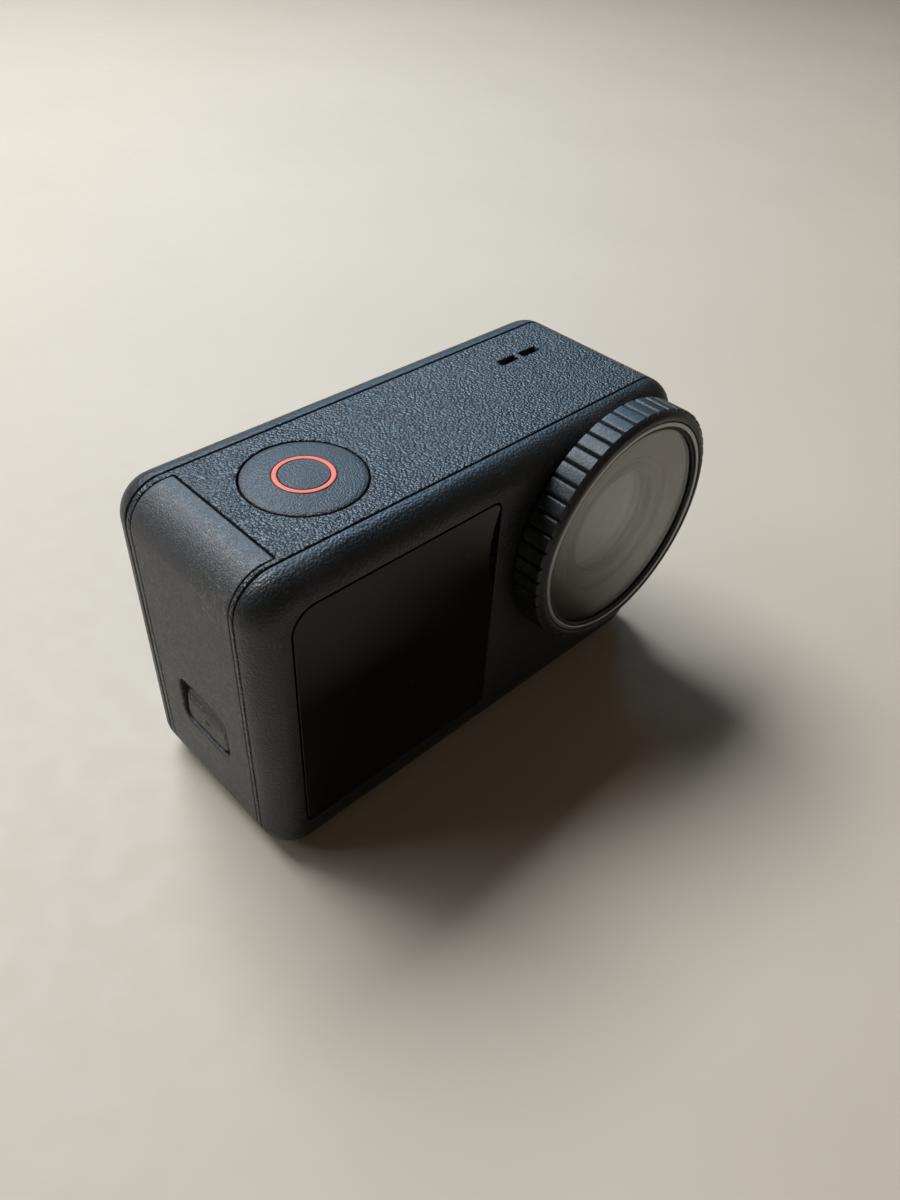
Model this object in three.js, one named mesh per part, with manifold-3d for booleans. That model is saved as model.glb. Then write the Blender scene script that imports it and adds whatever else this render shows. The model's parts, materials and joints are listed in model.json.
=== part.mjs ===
// A pocket action camera. Millimetres. X runs along the body, -Y is the front (the lens side), +Z is up.
// The origin is the middle of the bottom face, where the quick-release mount holds the body.
import * as THREE from "three";
import { mergeVertices } from "three/addons/utils/BufferGeometryUtils.js";
import Module from "manifold-3d";

const wasm = await Module();
wasm.setup();

// ---- driving dimensions ----

// body
const bodyW = 67.8;
const bodyH = 42.6;
const bodyD = 28.3;
const cornerR = 4.9;
const frontFillet = 3.8;
const rearFillet = 4.4;
const frontShellD = 3.85;
const rearShellD = 4.45;
const faceWall = 2.0;
const rimWall = 2.3;
const frameWall = 1.6;
const windowR = 1.0; // the corners of the openings behind the glasses

// clearances
const seamGap = 0.2; // the visible joint lines
const fitGap = 0.3; // pieces that sit inside others
const slideGap = 0.2; // buttons and covers that move
const pinGap = 0.05; // a pin in its bore
const seatGap = 0.1; // a thin piece on its seat
const threadGap = 0.25; // the lens cover round its boss

// front glass and displays
const frontGlassFromLeft = 4.3;
const frontGlassFromCover = 3.3;
const frontGlassBelow = 5.4; // body under the glass
const frontGlassAbove = 3.6; // body over the glass
const frontGlassR = 3.0;
const glassT = 0.9;
const frontMarginX = 1.95; // black border of the front display
const frontMarginZ = 3.5;
const displayT = 2.0;
const displayR = 0.6;
const rearGlassInsetX = 4.7;
const rearGlassInsetZ = 4.5;
const rearGlassR = 3.2;
const rearMarginX = 4.7;
const rearMarginZ = 2.5;

// lens cover, from its axis; each "out" is a distance in front of the front face
const coverR = 16.8;
const coverOut = 4.5;
const coverBase = 0.25; // from the front face to the cover's rear edge
const coverChamfer = 0.5;
const ribCount = 48;
const ribGrooveDepth = 0.45;
const ribGrooveShare = 0.22;
const rimWidth = 1.5;
const bezelWidth = 0.6;
const bezelT = 0.45;
const gasketWidth = 0.5;
const gasketT = 0.2;
const coverGlassT = 0.9;
const coverLipW = 1.7;
const coverLipT = 0.5;
const coverWall = 2.9; // from the ribs' tips to the boss
const bossOut = 2.3;
const sealW = 1.2;
const sealT = 0.7;

// lens; each "depth" is a distance behind the front face
const frontElementR = 8.0;
const barrelRim = 0.6;
const barrelWall = 0.4;
const barrelOut = 1.9;
const barrelDepth = 13.15;
const flangeFromSide = 0.5;
const flangeFromTop = 1.6;
const flangeMargin = 2.7; // from a lens screw to the flange's edge
const flangeT = 1.0;
const flangeCornerR = 3.0;
const lensScrewInset = 0.9; // each screw's offset is this much less than the barrel's radius
const retainerW = 1.3;
const retainerT = 0.6;
const retainerSeat = 0.7;
const frontElementT = 2.6;
const frontElementCrown = 0.4;
const innerCrown = 0.2;
const middleElementR = 6.2;
const middleElementT = 1.6; // at its edge
const middleElementDepth = 4.75;
const rearElementR = 5.2;
const rearElementT = 1.4; // at its edge
const rearElementDepth = 9.75;
const apertureInset = 0.8;
const filterSize = 9.4;
const filterT = 0.4;
const sensorW = 12.4;
const sensorH = 10.2;
const sensorT = 1.3;
const sensorBoard = 17.0;
const boardT = 0.8;

// shutter button
const shutterFromLip = 3.45; // from the battery door's lip to the button
const shutterForward = 0.1; // from the middle of the frame towards the front
const shutterR = 7.0;
const shutterCrown = 0.45;
const shutterFlange = 0.8;
const shutterFlangeT = 0.6;
const shutterSealW = 0.9;
const shutterRingR = 3.52;
const shutterRingW = 0.6;
const shutterRingT = 0.45;
const shutterRingProud = 0.05;
const shutterTravel = 0.6;
const switchSize = 5.0;
const switchH = 0.9;
const switchKnobR = 1.2;
const switchKnobH = 0.2;

// battery door
const doorT = 1.7;
const frontStrip = 0.71; // frame left in front of the door
const rearStrip = 0.92; // frame left behind the door
const lipReach = 6.0; // from the side to the lip on top
const doorBacking = 0.35; // room behind the door for its seal
const hingeDepth = 0.75; // the hinge pin's axis below the top and behind the lip
const pinR = 0.4;
const pinEngage = 0.45;
const doorSealW = 0.8;
const doorSealT = 0.5;
const doorSealR = 1.6;
const doorSealRoom = 0.9; // from the bay and the card to the seal's outer edge

// latch in the battery door
const latchW = 9.1;
const latchH = 5.2;
const latchZ = 14.8;
const latchR = 1.9;
const latchTravel = 1.4;
const latchRecess = 1.0;
const latchT = 0.7;
const latchStemW = 4.0;
const latchStemH = 3.0;
const latchHeadW = 5.6;
const latchHeadH = 3.6;
const latchHeadT = 0.4;

// battery, its bay and the memory card
const batteryBelow = 5.45; // from the bottom to the battery
const batteryAbove = 6.05; // from the battery to the top
const batteryR = 1.5;
const batteryProud = 0.1; // out of its bay, to be gripped
const bayWall = 0.8;
const bayFromRear = 2.2; // from the bay to the frame's rear edge
const bayFromCard = 0.7;
const bayFromLens = 0.5;
const bulkheadT = 1.4;
const contactT = 1.0;
const contactW = 4.0;
const contactH = 12.0;
const cardL = 15.0;
const cardH = 11.0;
const cardT = 1.0;
const cardFromTop = 16.6;
const socketT = 2.2;
const socketWall = 0.5;

// boards
const mainBoardDepth = 5.95; // from the front face to the board's rear side
const boardFromLens = 0.9;
const boardFromTop = 4.3; // and from the bottom
const shieldSize = 14.0;
const shieldT = 1.3;
const shieldFromEdge = 2.6;
const spreaderT = 0.6;
const spreaderFromCard = 2.3;
const spreaderInset = 2.0; // from the board's top and bottom edges

// right side: port door, port, mode button
const portDoorW = 10.4;
const portDoorH = 12.8;
const portDoorR = 2.0;
const portDoorT = 1.5;
const portDoorBelow = 4.6; // from the bottom to the door
const portPadMargin = 1.2;
const portRecess = 2.0;
const nailR = 1.6; // the nail notch in the port door's free edge
const nailH = 4.8;
const nailOut = 0.9;
const nailIn = 0.6;
const portW = 3.16;
const portH = 8.94;
const portWall = 0.3;
const portBackWall = 0.8;
const portL = 7.0;
const tongueT = 0.7;
const tongueH = 6.6;
const tongueL = 5.2;
const portSealT = 0.35;
const portSealW = 0.8;
const portBoardL = 10.2;
const portBoardH = 12.0;
const portBoardInset = 1.8;
const modeBelowTop = 3.0; // the button is half way from the port door to this far below the top
const modeY = 1.0;
const modeW = 3.6;
const modeH = 9.0;
const modeProud = 0.2;
const modeTravel = 0.5;
const modeFlange = 0.8;
const modeFlangeT = 0.5;
const modeSwitch = { depth: 1.2, width: 3.4, height: 5.0 };
const modeKnob = { depth: 0.3, width: 1.2, height: 1.8 };

// top slots and microphones
const slotW = 3.2;
const slotD = 1.15;
const slotY = 3.95;
const slotPitch = 4.0;
const slotFromRight = 12.8;
const micW = 3.4;
const micD = 2.4;
const micH = 1.0;
const meshT = 0.15;
const meshMargin = 1.2;

// bottom plate
const plateW = 26.0;
const plateD = 15.0;
const plateT = 1.0;
const plateR = 1.5;
const hookSlotW = 1.6;
const hookSlotD = 8.0;
const hookSlotDepth = 1.2;
const hookSlotWall = 0.4; // between the plate and a hook slot
const padMarginX = 4.0; // how far the thickened floor reaches past the plate
const padMarginFront = 1.5;
const padMarginRear = -0.3;

// speaker and antenna
const speakerW = 11.0;
const speakerD = 8.0;
const speakerH = 5.5;
const speakerFromFront = 5.0;
const speakerFromLens = 1.0;
const speakerSlotPitch = 1.8;
const speakerSlotD = 0.8;
const speakerSlotShare = 0.55; // of the speaker's width
const antennaW = 14.0;
const antennaD = 8.0;
const antennaT = 0.4;

// screws
const rearScrewFromDisplay = 2.0;
const rearScrewInset = 6.6;
const tabW = 4.4; // the frame's tabs that the rear screws bite into
const tabMargin = 2.2;
const tabBacking = 0.6;
const screwR = 0.6;
const screwHeadR = 1.2;
const screwHeadT = 0.6;
const screwBite = 1.4;
const screwPostWall = 1.0;

// ---- places worked out from the dimensions ----

const front = -bodyD / 2;
const rear = bodyD / 2;
const side = bodyW / 2;
const midZ = bodyH / 2;
const frontSeam = front + frontShellD;
const rearSeam = rear - rearShellD;
const frameFront = frontSeam + seamGap / 2;
const frameRear = rearSeam - seamGap / 2;
const frameTop = bodyH - frameWall;
const frameSide = side - frameWall;
const innerFront = front + faceWall;
const innerRear = rear - faceWall;
const padTop = plateT + frameWall; // the thickened floor over the bottom plate

const barrelR = frontElementR + slideGap + retainerSeat + barrelRim;
const barrelRearR = frontElementR + slideGap + barrelWall;
const lensScrewAt = barrelR - lensScrewInset;
const flangeHalf = lensScrewAt + flangeMargin;
const lensX = side - rimWall - flangeFromSide - flangeHalf;
const lensZ = bodyH - rimWall - flangeFromTop - flangeHalf;
const bossR = coverR - coverWall;
const barrelRearY = front + barrelDepth;
const middleElementY = front + middleElementDepth;
const rearElementY = front + rearElementDepth;

const frontGlassLeft = -side + frontGlassFromLeft;
const frontGlassRight = lensX - coverR - frontGlassFromCover;
const frontGlassW = frontGlassRight - frontGlassLeft;
const frontGlassH = bodyH - frontGlassBelow - frontGlassAbove;
const frontGlassX = (frontGlassLeft + frontGlassRight) / 2;
const frontGlassZ = frontGlassBelow + frontGlassH / 2;
const frontDisplayW = frontGlassW - 2 * frontMarginX;
const frontDisplayH = frontGlassH - 2 * frontMarginZ;
const rearGlassW = bodyW - 2 * rearGlassInsetX;
const rearGlassH = bodyH - 2 * rearGlassInsetZ;
const rearDisplayW = rearGlassW - 2 * rearMarginX;
const rearDisplayH = rearGlassH - 2 * rearMarginZ;
const rearScrewX = rearDisplayW / 2 + rearScrewFromDisplay;

const doorFront = frameFront + frontStrip;
const doorRear = frameRear - rearStrip;
const doorInner = -side + doorT;
const lipX = -side + lipReach;
const lowerLipX = -side + cornerR;
const hingeX = lipX - hingeDepth;
const hingeZ = bodyH - hingeDepth;
const latchY = (doorFront + doorRear) / 2;
const latchSweep = latchH + latchTravel + 2 * fitGap;

const shutterX = lipX + shutterFromLip + shutterR;
const shutterY = (frameFront + frameRear) / 2 - shutterForward;

const behindDoor = Math.max(seatGap + doorSealT, slideGap + latchHeadT); // the seal or the latch's head
const bulkheadX = doorInner + behindDoor + slideGap;
const bulkheadEnd = bulkheadX + bulkheadT;
const mainBoardY = front + mainBoardDepth;
const mainBoardRight = lensX - flangeHalf - boardFromLens;
const cardY = mainBoardY + seatGap + socketT / 2;
const cardZ = bodyH - cardFromTop;
const bayX0 = bulkheadEnd + fitGap;
const bayX1 = lensX - flangeHalf - bayFromLens - bayWall;
const bayY0 = cardY + socketT / 2 + bayFromCard + bayWall;
const bayY1 = frameRear - bayFromRear - bayWall;
const bayZ0 = batteryBelow - seamGap;
const bayZ1 = bodyH - batteryAbove + seamGap;
const batteryX0 = bayX0 - batteryProud;
const batteryX1 = bayX1 - contactT - 3 * seatGap;
const batteryY = (bayY0 + bayY1) / 2;
const batteryZ = (bayZ0 + bayZ1) / 2;
const batteryD = bayY1 - bayY0 - 2 * seamGap;
const batteryH = bayZ1 - bayZ0 - 2 * seamGap;
const socketX1 = bayX0 + cardL + 1;

const portDoorZ = portDoorBelow + portDoorH / 2;
const portHingeX = side - hingeDepth;
const portHingeY = portDoorW / 2 - hingeDepth;
const portPinReach = portDoorH / 2 + slideGap + pinEngage;
const modeZ = (portDoorBelow + portDoorH + bodyH - modeBelowTop) / 2;
const speakerX = lensX - speakerFromLens;
const speakerY = frameFront + speakerFromFront;
const slotMidX = side - slotFromRight;

// ---- shapes ----

const roundSteps = 4;
const filletSteps = 5;
const far = 100; // past the whole camera
const hair = 0.01; // keeps the straight sides of a pill-shaped outline from vanishing

// A rectangle with round corners, centred on (u, v).
function roundedRect(w, h, r, u = 0, v = 0) {
  const shape = new THREE.Shape();
  const a = w / 2 - r;
  const b = h / 2 - r;
  const quarter = Math.PI / 2;
  shape.moveTo(u + a, v - b - r);
  shape.absarc(u + a, v - b, r, -quarter, 0);
  shape.absarc(u + a, v + b, r, 0, quarter);
  shape.absarc(u - a, v + b, r, quarter, 2 * quarter);
  shape.absarc(u - a, v - b, r, 2 * quarter, 3 * quarter);
  shape.closePath();
  return shape;
}

function bodyOutline(inset = 0) {
  return roundedRect(bodyW - 2 * inset, bodyH - 2 * inset, cornerR - inset, 0, midZ);
}

// How a drawn outline lies: on "x" it is drawn in Y and Z, on "y" in X and Z, on "z" in X and Y.
const lying = {
  x: new THREE.Matrix4().makeBasis(axis(0, 1, 0), axis(0, 0, 1), axis(1, 0, 0)),
  y: new THREE.Matrix4().makeBasis(axis(1, 0, 0), axis(0, 0, 1), axis(0, -1, 0)),
  z: new THREE.Matrix4(),
};

function axis(x, y, z) {
  return new THREE.Vector3(x, y, z);
}

// An outline carried along one axis from the lower to the upper of two places; "round" rounds both ends.
function extrude(shape, along, from, to, round = 0, steps = roundSteps) {
  const low = Math.min(from, to);
  const high = Math.max(from, to);
  const geometry = new THREE.ExtrudeGeometry(shape, {
    depth: high - low - 2 * round,
    curveSegments: steps,
    bevelEnabled: round > 0,
    bevelThickness: round,
    bevelSize: round,
    bevelOffset: -round,
    bevelSegments: filletSteps,
  });
  const start = along === "y" ? -high + round : low + round;
  geometry.translate(0, 0, start);
  return geometry.applyMatrix4(lying[along]);
}

function box(x0, x1, y0, y1, z0, z1) {
  const geometry = new THREE.BoxGeometry(x1 - x0, y1 - y0, z1 - z0);
  return geometry.translate((x0 + x1) / 2, (y0 + y1) / 2, (z0 + z1) / 2);
}

// A box given by its middle and its three sizes.
function block(x, y, z, w, d, h) {
  return box(x - w / 2, x + w / 2, y - d / 2, y + d / 2, z - h / 2, z + h / 2);
}

// A profile of [radius, place] points turned about the lens axis; places run along Y.
function turned(profile, x, z, steps = 40) {
  const points = profile.map(([r, y]) => new THREE.Vector2(r, y));
  return new THREE.LatheGeometry(points, steps).translate(x, 0, z);
}

// A pill-shaped outline: a rectangle whose corners use up its whole width.
function pill(w, h, u, v) {
  return roundedRect(w, h, Math.min(w, h) / 2 - hair, u, v);
}

function discY(r, x, z, y0, y1, steps = 32) {
  const geometry = new THREE.CylinderGeometry(r, r, y1 - y0, steps);
  return geometry.translate(x, (y0 + y1) / 2, z);
}

function discZ(r, x, y, z0, z1, steps = 32) {
  const geometry = new THREE.CylinderGeometry(r, r, z1 - z0, steps);
  return geometry.rotateX(Math.PI / 2).translate(x, y, (z0 + z1) / 2);
}

function ringY(outer, inner, x, z, y0, y1) {
  return turned([[inner, y0], [outer, y0], [outer, y1], [inner, y1], [inner, y0]], x, z);
}

function frameShape(outer, inner) {
  outer.holes.push(inner);
  return outer;
}

// ---- joining and cutting ----

function solid(shape) {
  if (!shape.isBufferGeometry) return shape;
  const bare = shape.index ? shape.toNonIndexed() : shape.clone();
  bare.deleteAttribute("normal");
  bare.deleteAttribute("uv");
  const merged = mergeVertices(bare, 1e-4);
  const vertProperties = merged.attributes.position.array;
  const triVerts = new Uint32Array(merged.index.array);
  return new wasm.Manifold(new wasm.Mesh({ numProp: 3, vertProperties, triVerts }));
}

function join(first, ...others) {
  return others.reduce((whole, other) => whole.add(solid(other)), solid(first));
}

function cut(first, ...others) {
  return others.reduce((whole, other) => whole.subtract(solid(other)), solid(first));
}

function common(first, second) {
  return solid(first).intersect(solid(second));
}

function toGeometry(shape) {
  if (shape.isBufferGeometry) return shape;
  const mesh = shape.getMesh();
  const geometry = new THREE.BufferGeometry();
  geometry.setAttribute("position", new THREE.BufferAttribute(mesh.vertProperties, 3));
  geometry.setIndex(new THREE.BufferAttribute(mesh.triVerts, 1));
  geometry.computeVertexNormals();
  return geometry;
}

const camera = new THREE.Group();

function piece(name, shape, color, roughness, metalness = 0) {
  const material = new THREE.MeshStandardMaterial({ color, roughness, metalness });
  const mesh = new THREE.Mesh(toGeometry(shape), material);
  mesh.name = name;
  camera.add(mesh);
}

// colours
const shellGrey = 0x34383b;
const doorGrey = 0x3a3d3f;
const gloss = 0x08090a;
const black = 0x16181a;
const rubber = 0x1d1e1f;
const steel = 0xa9abae;
const brass = 0xc9a55a;
const board = 0x1f3a2c;
const orange = 0xeb6a4b;

// ---- shells ----

// The outer block with one rounded face, from that face to the seam.
function shellBlock(y0, y1, fillet) {
  const whole = extrude(bodyOutline(), "y", y0, y1, fillet, filletSteps);
  const half = y0 === front ? box(-far, far, -far, frontSeam - seamGap / 2, -far, far)
    : box(-far, far, rearSeam + seamGap / 2, far, -far, far);
  return common(whole, half);
}

function frontShell() {
  const outer = shellBlock(front, front + 4 * frontFillet, frontFillet);
  const boss = discY(bossR, lensX, lensZ, front - bossOut, frontSeam - seamGap / 2, 48);
  const hollow = extrude(bodyOutline(rimWall), "y", innerFront, frontSeam + 1);
  const pocketW = frontGlassW + 2 * seamGap;
  const pocketH = frontGlassH + 2 * seamGap;
  const pocket = roundedRect(pocketW, pocketH, frontGlassR + seamGap, frontGlassX, frontGlassZ);
  const windowW = frontDisplayW + 2 * fitGap;
  const windowH = frontDisplayH + 2 * fitGap;
  const opening = roundedRect(windowW, windowH, windowR, frontGlassX, frontGlassZ);
  const bore = discY(barrelR + fitGap, lensX, lensZ, front - bossOut - 1, 0, 40);
  const screws = lensScrewPlaces().map(([x, z]) =>
    discY(screwR + pinGap, x, z, innerFront - screwBite - fitGap, innerFront + 1, 12));
  return cut(
    join(outer, boss),
    hollow,
    extrude(pocket, "y", front - 1, front + glassT + seatGap),
    extrude(opening, "y", front - 1, 0),
    bore,
    ...screws,
  );
}

function rearShell() {
  const outer = shellBlock(rear - 4 * rearFillet, rear, rearFillet);
  const hollow = extrude(bodyOutline(rimWall), "y", rearSeam - 1, innerRear);
  const pocket = roundedRect(
    rearGlassW + 2 * seamGap, rearGlassH + 2 * seamGap, rearGlassR + seamGap, 0, midZ);
  const opening = roundedRect(
    rearDisplayW + 2 * fitGap, rearDisplayH + 2 * fitGap, windowR, 0, midZ);
  const posts = rearScrewPlaces().map(([x, z]) =>
    discY(screwHeadR + screwPostWall, x, z, rearSeam + seamGap / 2, innerRear + faceWall / 4, 16));
  const holes = rearScrewPlaces().flatMap(([x, z]) => [
    discY(screwR + pinGap, x, z, 0, rear, 12),
    discY(screwHeadR + slideGap, x, z, rearHeadY() - seatGap, rear, 16),
  ]);
  return cut(
    join(cut(outer, hollow), ...posts),
    extrude(pocket, "y", rear - glassT - seatGap, rear + 1),
    extrude(opening, "y", 0, rear + 1),
    ...holes,
  );
}

// ---- mid frame ----

// The space that the battery door fills, with "gap" round it and behind it.
function doorSpace(gap, thickness) {
  const band = cut(
    extrude(bodyOutline(-1), "y", doorFront - gap, doorRear + gap),
    extrude(bodyOutline(thickness), "y", doorFront - gap - 1, doorRear + gap + 1),
  );
  const ends = join(
    box(-far, lipX + gap, -far, far, midZ - 1, far),
    box(-far, lowerLipX + gap, -far, far, -far, midZ),
  );
  return common(band, ends);
}

function frameTabs() {
  const tabH = rearScrewInset + tabMargin;
  const tabY = frameRear - screwBite - tabBacking;
  return rearScrewPlaces().map(([x, z]) => {
    const low = z < midZ;
    return box(x - tabW / 2, x + tabW / 2, tabY, frameRear,
      low ? frameWall / 2 : bodyH - tabH, low ? tabH : bodyH - frameWall / 2);
  });
}

// The port door's outline, larger all round by "gap". Its corners are round on the free edge, and square
// on the hinge edge, where a round corner of the recess would stop the door.
function portOutline(gap) {
  const w = portDoorW / 2 + gap;
  const r = portDoorR + gap;
  const low = portDoorZ - portDoorH / 2 - gap;
  const high = portDoorZ + portDoorH / 2 + gap;
  const shape = new THREE.Shape();
  shape.moveTo(w, low);
  shape.lineTo(w, high);
  shape.lineTo(r - w, high);
  shape.absarc(r - w, high - r, r, Math.PI / 2, Math.PI);
  shape.absarc(r - w, low + r, r, Math.PI, 1.5 * Math.PI);
  shape.closePath();
  return shape;
}

function portOpening() {
  const floor = side - portRecess;
  const through = roundedRect(portW + 4 * fitGap, portH + 4 * fitGap, portW / 2, 0, portDoorZ);
  const boreReach = portPinReach + seatGap;
  const pin = discZ(
    pinR + pinGap, portHingeX, portHingeY, portDoorZ - boreReach, portDoorZ + boreReach, 12);
  return join(
    extrude(portOutline(slideGap), "x", floor, far),
    extrude(through, "x", 0, far),
    pin,
  );
}

function modeHole() {
  const hole = roundedRect(
    modeW + 2 * slideGap, modeH + 2 * slideGap, modeW / 2 + slideGap, modeY, modeZ);
  return extrude(hole, "x", frameSide - 1, far);
}

function micSlots() {
  return [-0.5, 0.5].map((step) => {
    const shape = pill(slotW, slotD, slotMidX + step * slotPitch, slotY);
    return extrude(shape, "z", frameTop - 1, far, 0, 3);
  });
}

function speakerSlots() {
  return [-1, 0, 1].map((step) =>
    block(speakerX, speakerY + step * speakerSlotPitch, 0,
      speakerW * speakerSlotShare, speakerSlotD, 4 * padTop));
}

function plateRecess() {
  const shape = roundedRect(plateW + 2 * seamGap, plateD + 2 * seamGap, plateR + seamGap);
  const slotX = plateW / 2 + seamGap + hookSlotWall + hookSlotW / 2;
  const slots = [-1, 1].map((end) =>
    block(end * slotX, 0, 0, hookSlotW, hookSlotD, 2 * hookSlotDepth));
  return join(extrude(shape, "z", -1, plateT + seatGap), ...slots);
}

function midFrame() {
  const skin = frameWall / 2; // what is joined to the tube starts half way into its wall
  const bulkhead = box(bulkheadX, bulkheadEnd, frameFront, frameRear, skin, bodyH - skin);
  const bottomPad = box(-plateW / 2 - padMarginX, plateW / 2 + padMarginX,
    -plateD / 2 - padMarginFront, plateD / 2 + padMarginRear, skin, padTop);
  const padW = portDoorW + 2 * portPadMargin;
  const padH = portDoorH + 2 * portPadMargin;
  const portPad = box(side - portRecess - frameWall, side - skin,
    -padW / 2, padW / 2, portDoorZ - padH / 2, portDoorZ + padH / 2);
  const tube = cut(
    extrude(bodyOutline(), "y", frameFront, frameRear, 0, filletSteps),
    extrude(bodyOutline(frameWall), "y", frameFront - 1, frameRear + 1, 0, filletSteps),
  );
  const screws = rearScrewPlaces().map(([x, z]) =>
    discY(screwR + pinGap, x, z, frameRear - screwBite - fitGap, far, 12));
  return cut(
    join(tube, bulkhead, bottomPad, portPad, ...frameTabs()),
    doorSpace(slideGap, doorT + doorBacking),
    discY(pinR + pinGap, hingeX, hingeZ,
      doorFront - pinEngage - seatGap, doorRear + pinEngage + seatGap, 12),
    box(-far, bulkheadEnd + 1, bayY0, bayY1, bayZ0, bayZ1),
    box(-far, bulkheadEnd + 1, cardY - cardT, cardY + cardT,
      cardZ - cardH / 2 - fitGap, cardZ + cardH / 2 + fitGap),
    discZ(shutterR + slideGap, shutterX, shutterY, frameTop - 1, far, 48),
    modeHole(),
    portOpening(),
    plateRecess(),
    ...micSlots(),
    ...speakerSlots(),
    ...screws,
  );
}

// ---- screws ----

function lensScrewPlaces() {
  return [[-1, -1], [1, -1], [1, 1], [-1, 1]].map(([a, b]) =>
    [lensX + a * lensScrewAt, lensZ + b * lensScrewAt]);
}

function rearScrewPlaces() {
  return [[-1, -1], [1, -1], [1, 1], [-1, 1]].map(([a, b]) =>
    [a * rearScrewX, midZ + b * (midZ - rearScrewInset)]);
}

function rearHeadY() {
  return rear - glassT - 2 * seatGap - screwHeadT;
}

// A slotted pan-head screw along Y with its head to the rear.
function screw(x, z, headY, tipY) {
  const headEnd = headY + screwHeadT;
  const head = discY(screwHeadR, x, z, headY, headEnd, 16);
  const shank = discY(screwR, x, z, tipY, headY + screwHeadT / 4, 10);
  const slot = block(x, headEnd, z, screwHeadR, screwHeadT, screwHeadR / 4);
  return cut(join(head, shank), slot);
}

// ---- glasses and displays ----

function slab(w, h, r, x, z, y0, y1) {
  return extrude(roundedRect(w, h, r, x, z), "y", y0, y1);
}

function addGlasses() {
  piece("front_glass",
    slab(frontGlassW, frontGlassH, frontGlassR, frontGlassX, frontGlassZ, front, front + glassT),
    gloss, 0.06);
  const displayFront = front + glassT + seatGap;
  piece("front_display",
    slab(frontDisplayW, frontDisplayH, displayR, frontGlassX, frontGlassZ,
      displayFront, displayFront + displayT),
    0x101418, 0.2);
  piece("rear_glass", slab(rearGlassW, rearGlassH, rearGlassR, 0, midZ, rear - glassT, rear), gloss, 0.06);
  const displayRear = rear - glassT - seatGap;
  piece("rear_display",
    slab(rearDisplayW, rearDisplayH, displayR, 0, midZ, displayRear - displayT, displayRear),
    0x101418, 0.2);
}

// ---- lens cover ----

function coverPlaces() {
  const tip = front - coverOut;
  const glassFront = tip + bezelT + seatGap;
  const glassBack = glassFront + coverGlassT;
  const lipBack = glassBack + seatGap + coverLipT;
  return { tip, glassFront, glassBack, lipBack, base: front - coverBase };
}

// The ribbed outline: ribs of full radius with narrow grooves between them.
function ribbedOutline() {
  const shape = new THREE.Shape();
  shape.moveTo(lensX + coverR, lensZ);
  const pitch = (2 * Math.PI) / ribCount;
  const groove = pitch * ribGrooveShare;
  const flank = groove / 4;
  for (let i = 0; i < ribCount; i++) {
    const start = i * pitch;
    const corners = [
      [start, coverR],
      [start + pitch - groove, coverR],
      [start + pitch - groove + flank, coverR - ribGrooveDepth],
      [start + pitch - flank, coverR - ribGrooveDepth],
    ];
    for (const [angle, r] of corners) {
      shape.lineTo(lensX + r * Math.cos(angle), lensZ + r * Math.sin(angle));
    }
  }
  shape.closePath();
  return shape;
}

function coverRing() {
  const { tip, glassBack, lipBack, base } = coverPlaces();
  const pocketR = coverR - rimWidth;
  const ribs = extrude(ribbedOutline(), "y", base, tip + coverChamfer);
  const noseR = coverR - ribGrooveDepth;
  const nose = turned([
    [0, tip], [noseR - coverChamfer, tip], [noseR, tip + coverChamfer], [noseR, tip + 1], [0, tip + 1],
  ], lensX, lensZ, 48);
  const shelf = glassBack + seatGap;
  const threadR = bossR + threadGap;
  const sealFront = base - sealT - slideGap;
  const sealRoomR = bossR + fitGap + sealW + slideGap;
  const bore = turned([
    [0, tip - 1], [pocketR, tip - 1], [pocketR, shelf],
    [pocketR - coverLipW, shelf], [pocketR - coverLipW, lipBack],
    [threadR, lipBack], [threadR, sealFront],
    [sealRoomR, sealFront], [sealRoomR, base + 1], [0, base + 1],
  ], lensX, lensZ, 48);
  return cut(join(ribs, nose), bore);
}

function addLensCover() {
  const { tip, glassFront, glassBack, base } = coverPlaces();
  const pocketR = coverR - rimWidth;
  piece("lens_cover_ring", coverRing(), black, 0.45);
  piece("lens_cover_glass",
    discY(pocketR - seatGap, lensX, lensZ, glassFront, glassBack, 48), 0x8d8a86, 0.05);
  piece("lens_cover_bezel",
    ringY(pocketR - seatGap, pocketR - seatGap - bezelWidth, lensX, lensZ,
      tip + pinGap, tip + bezelT), 0x9a9da0, 0.35, 0.8);
  const gasketR = pocketR - seatGap - bezelWidth - pinGap;
  piece("lens_cover_gasket",
    ringY(gasketR, gasketR - gasketWidth, lensX, lensZ,
      glassFront - pinGap - gasketT, glassFront - pinGap), rubber, 0.8);
  piece("lens_cover_seal",
    ringY(bossR + fitGap + sealW, bossR + fitGap, lensX, lensZ, base - sealT, base),
    rubber, 0.9);
}

// ---- lens ----

const flangeY = innerFront + slideGap;

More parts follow.
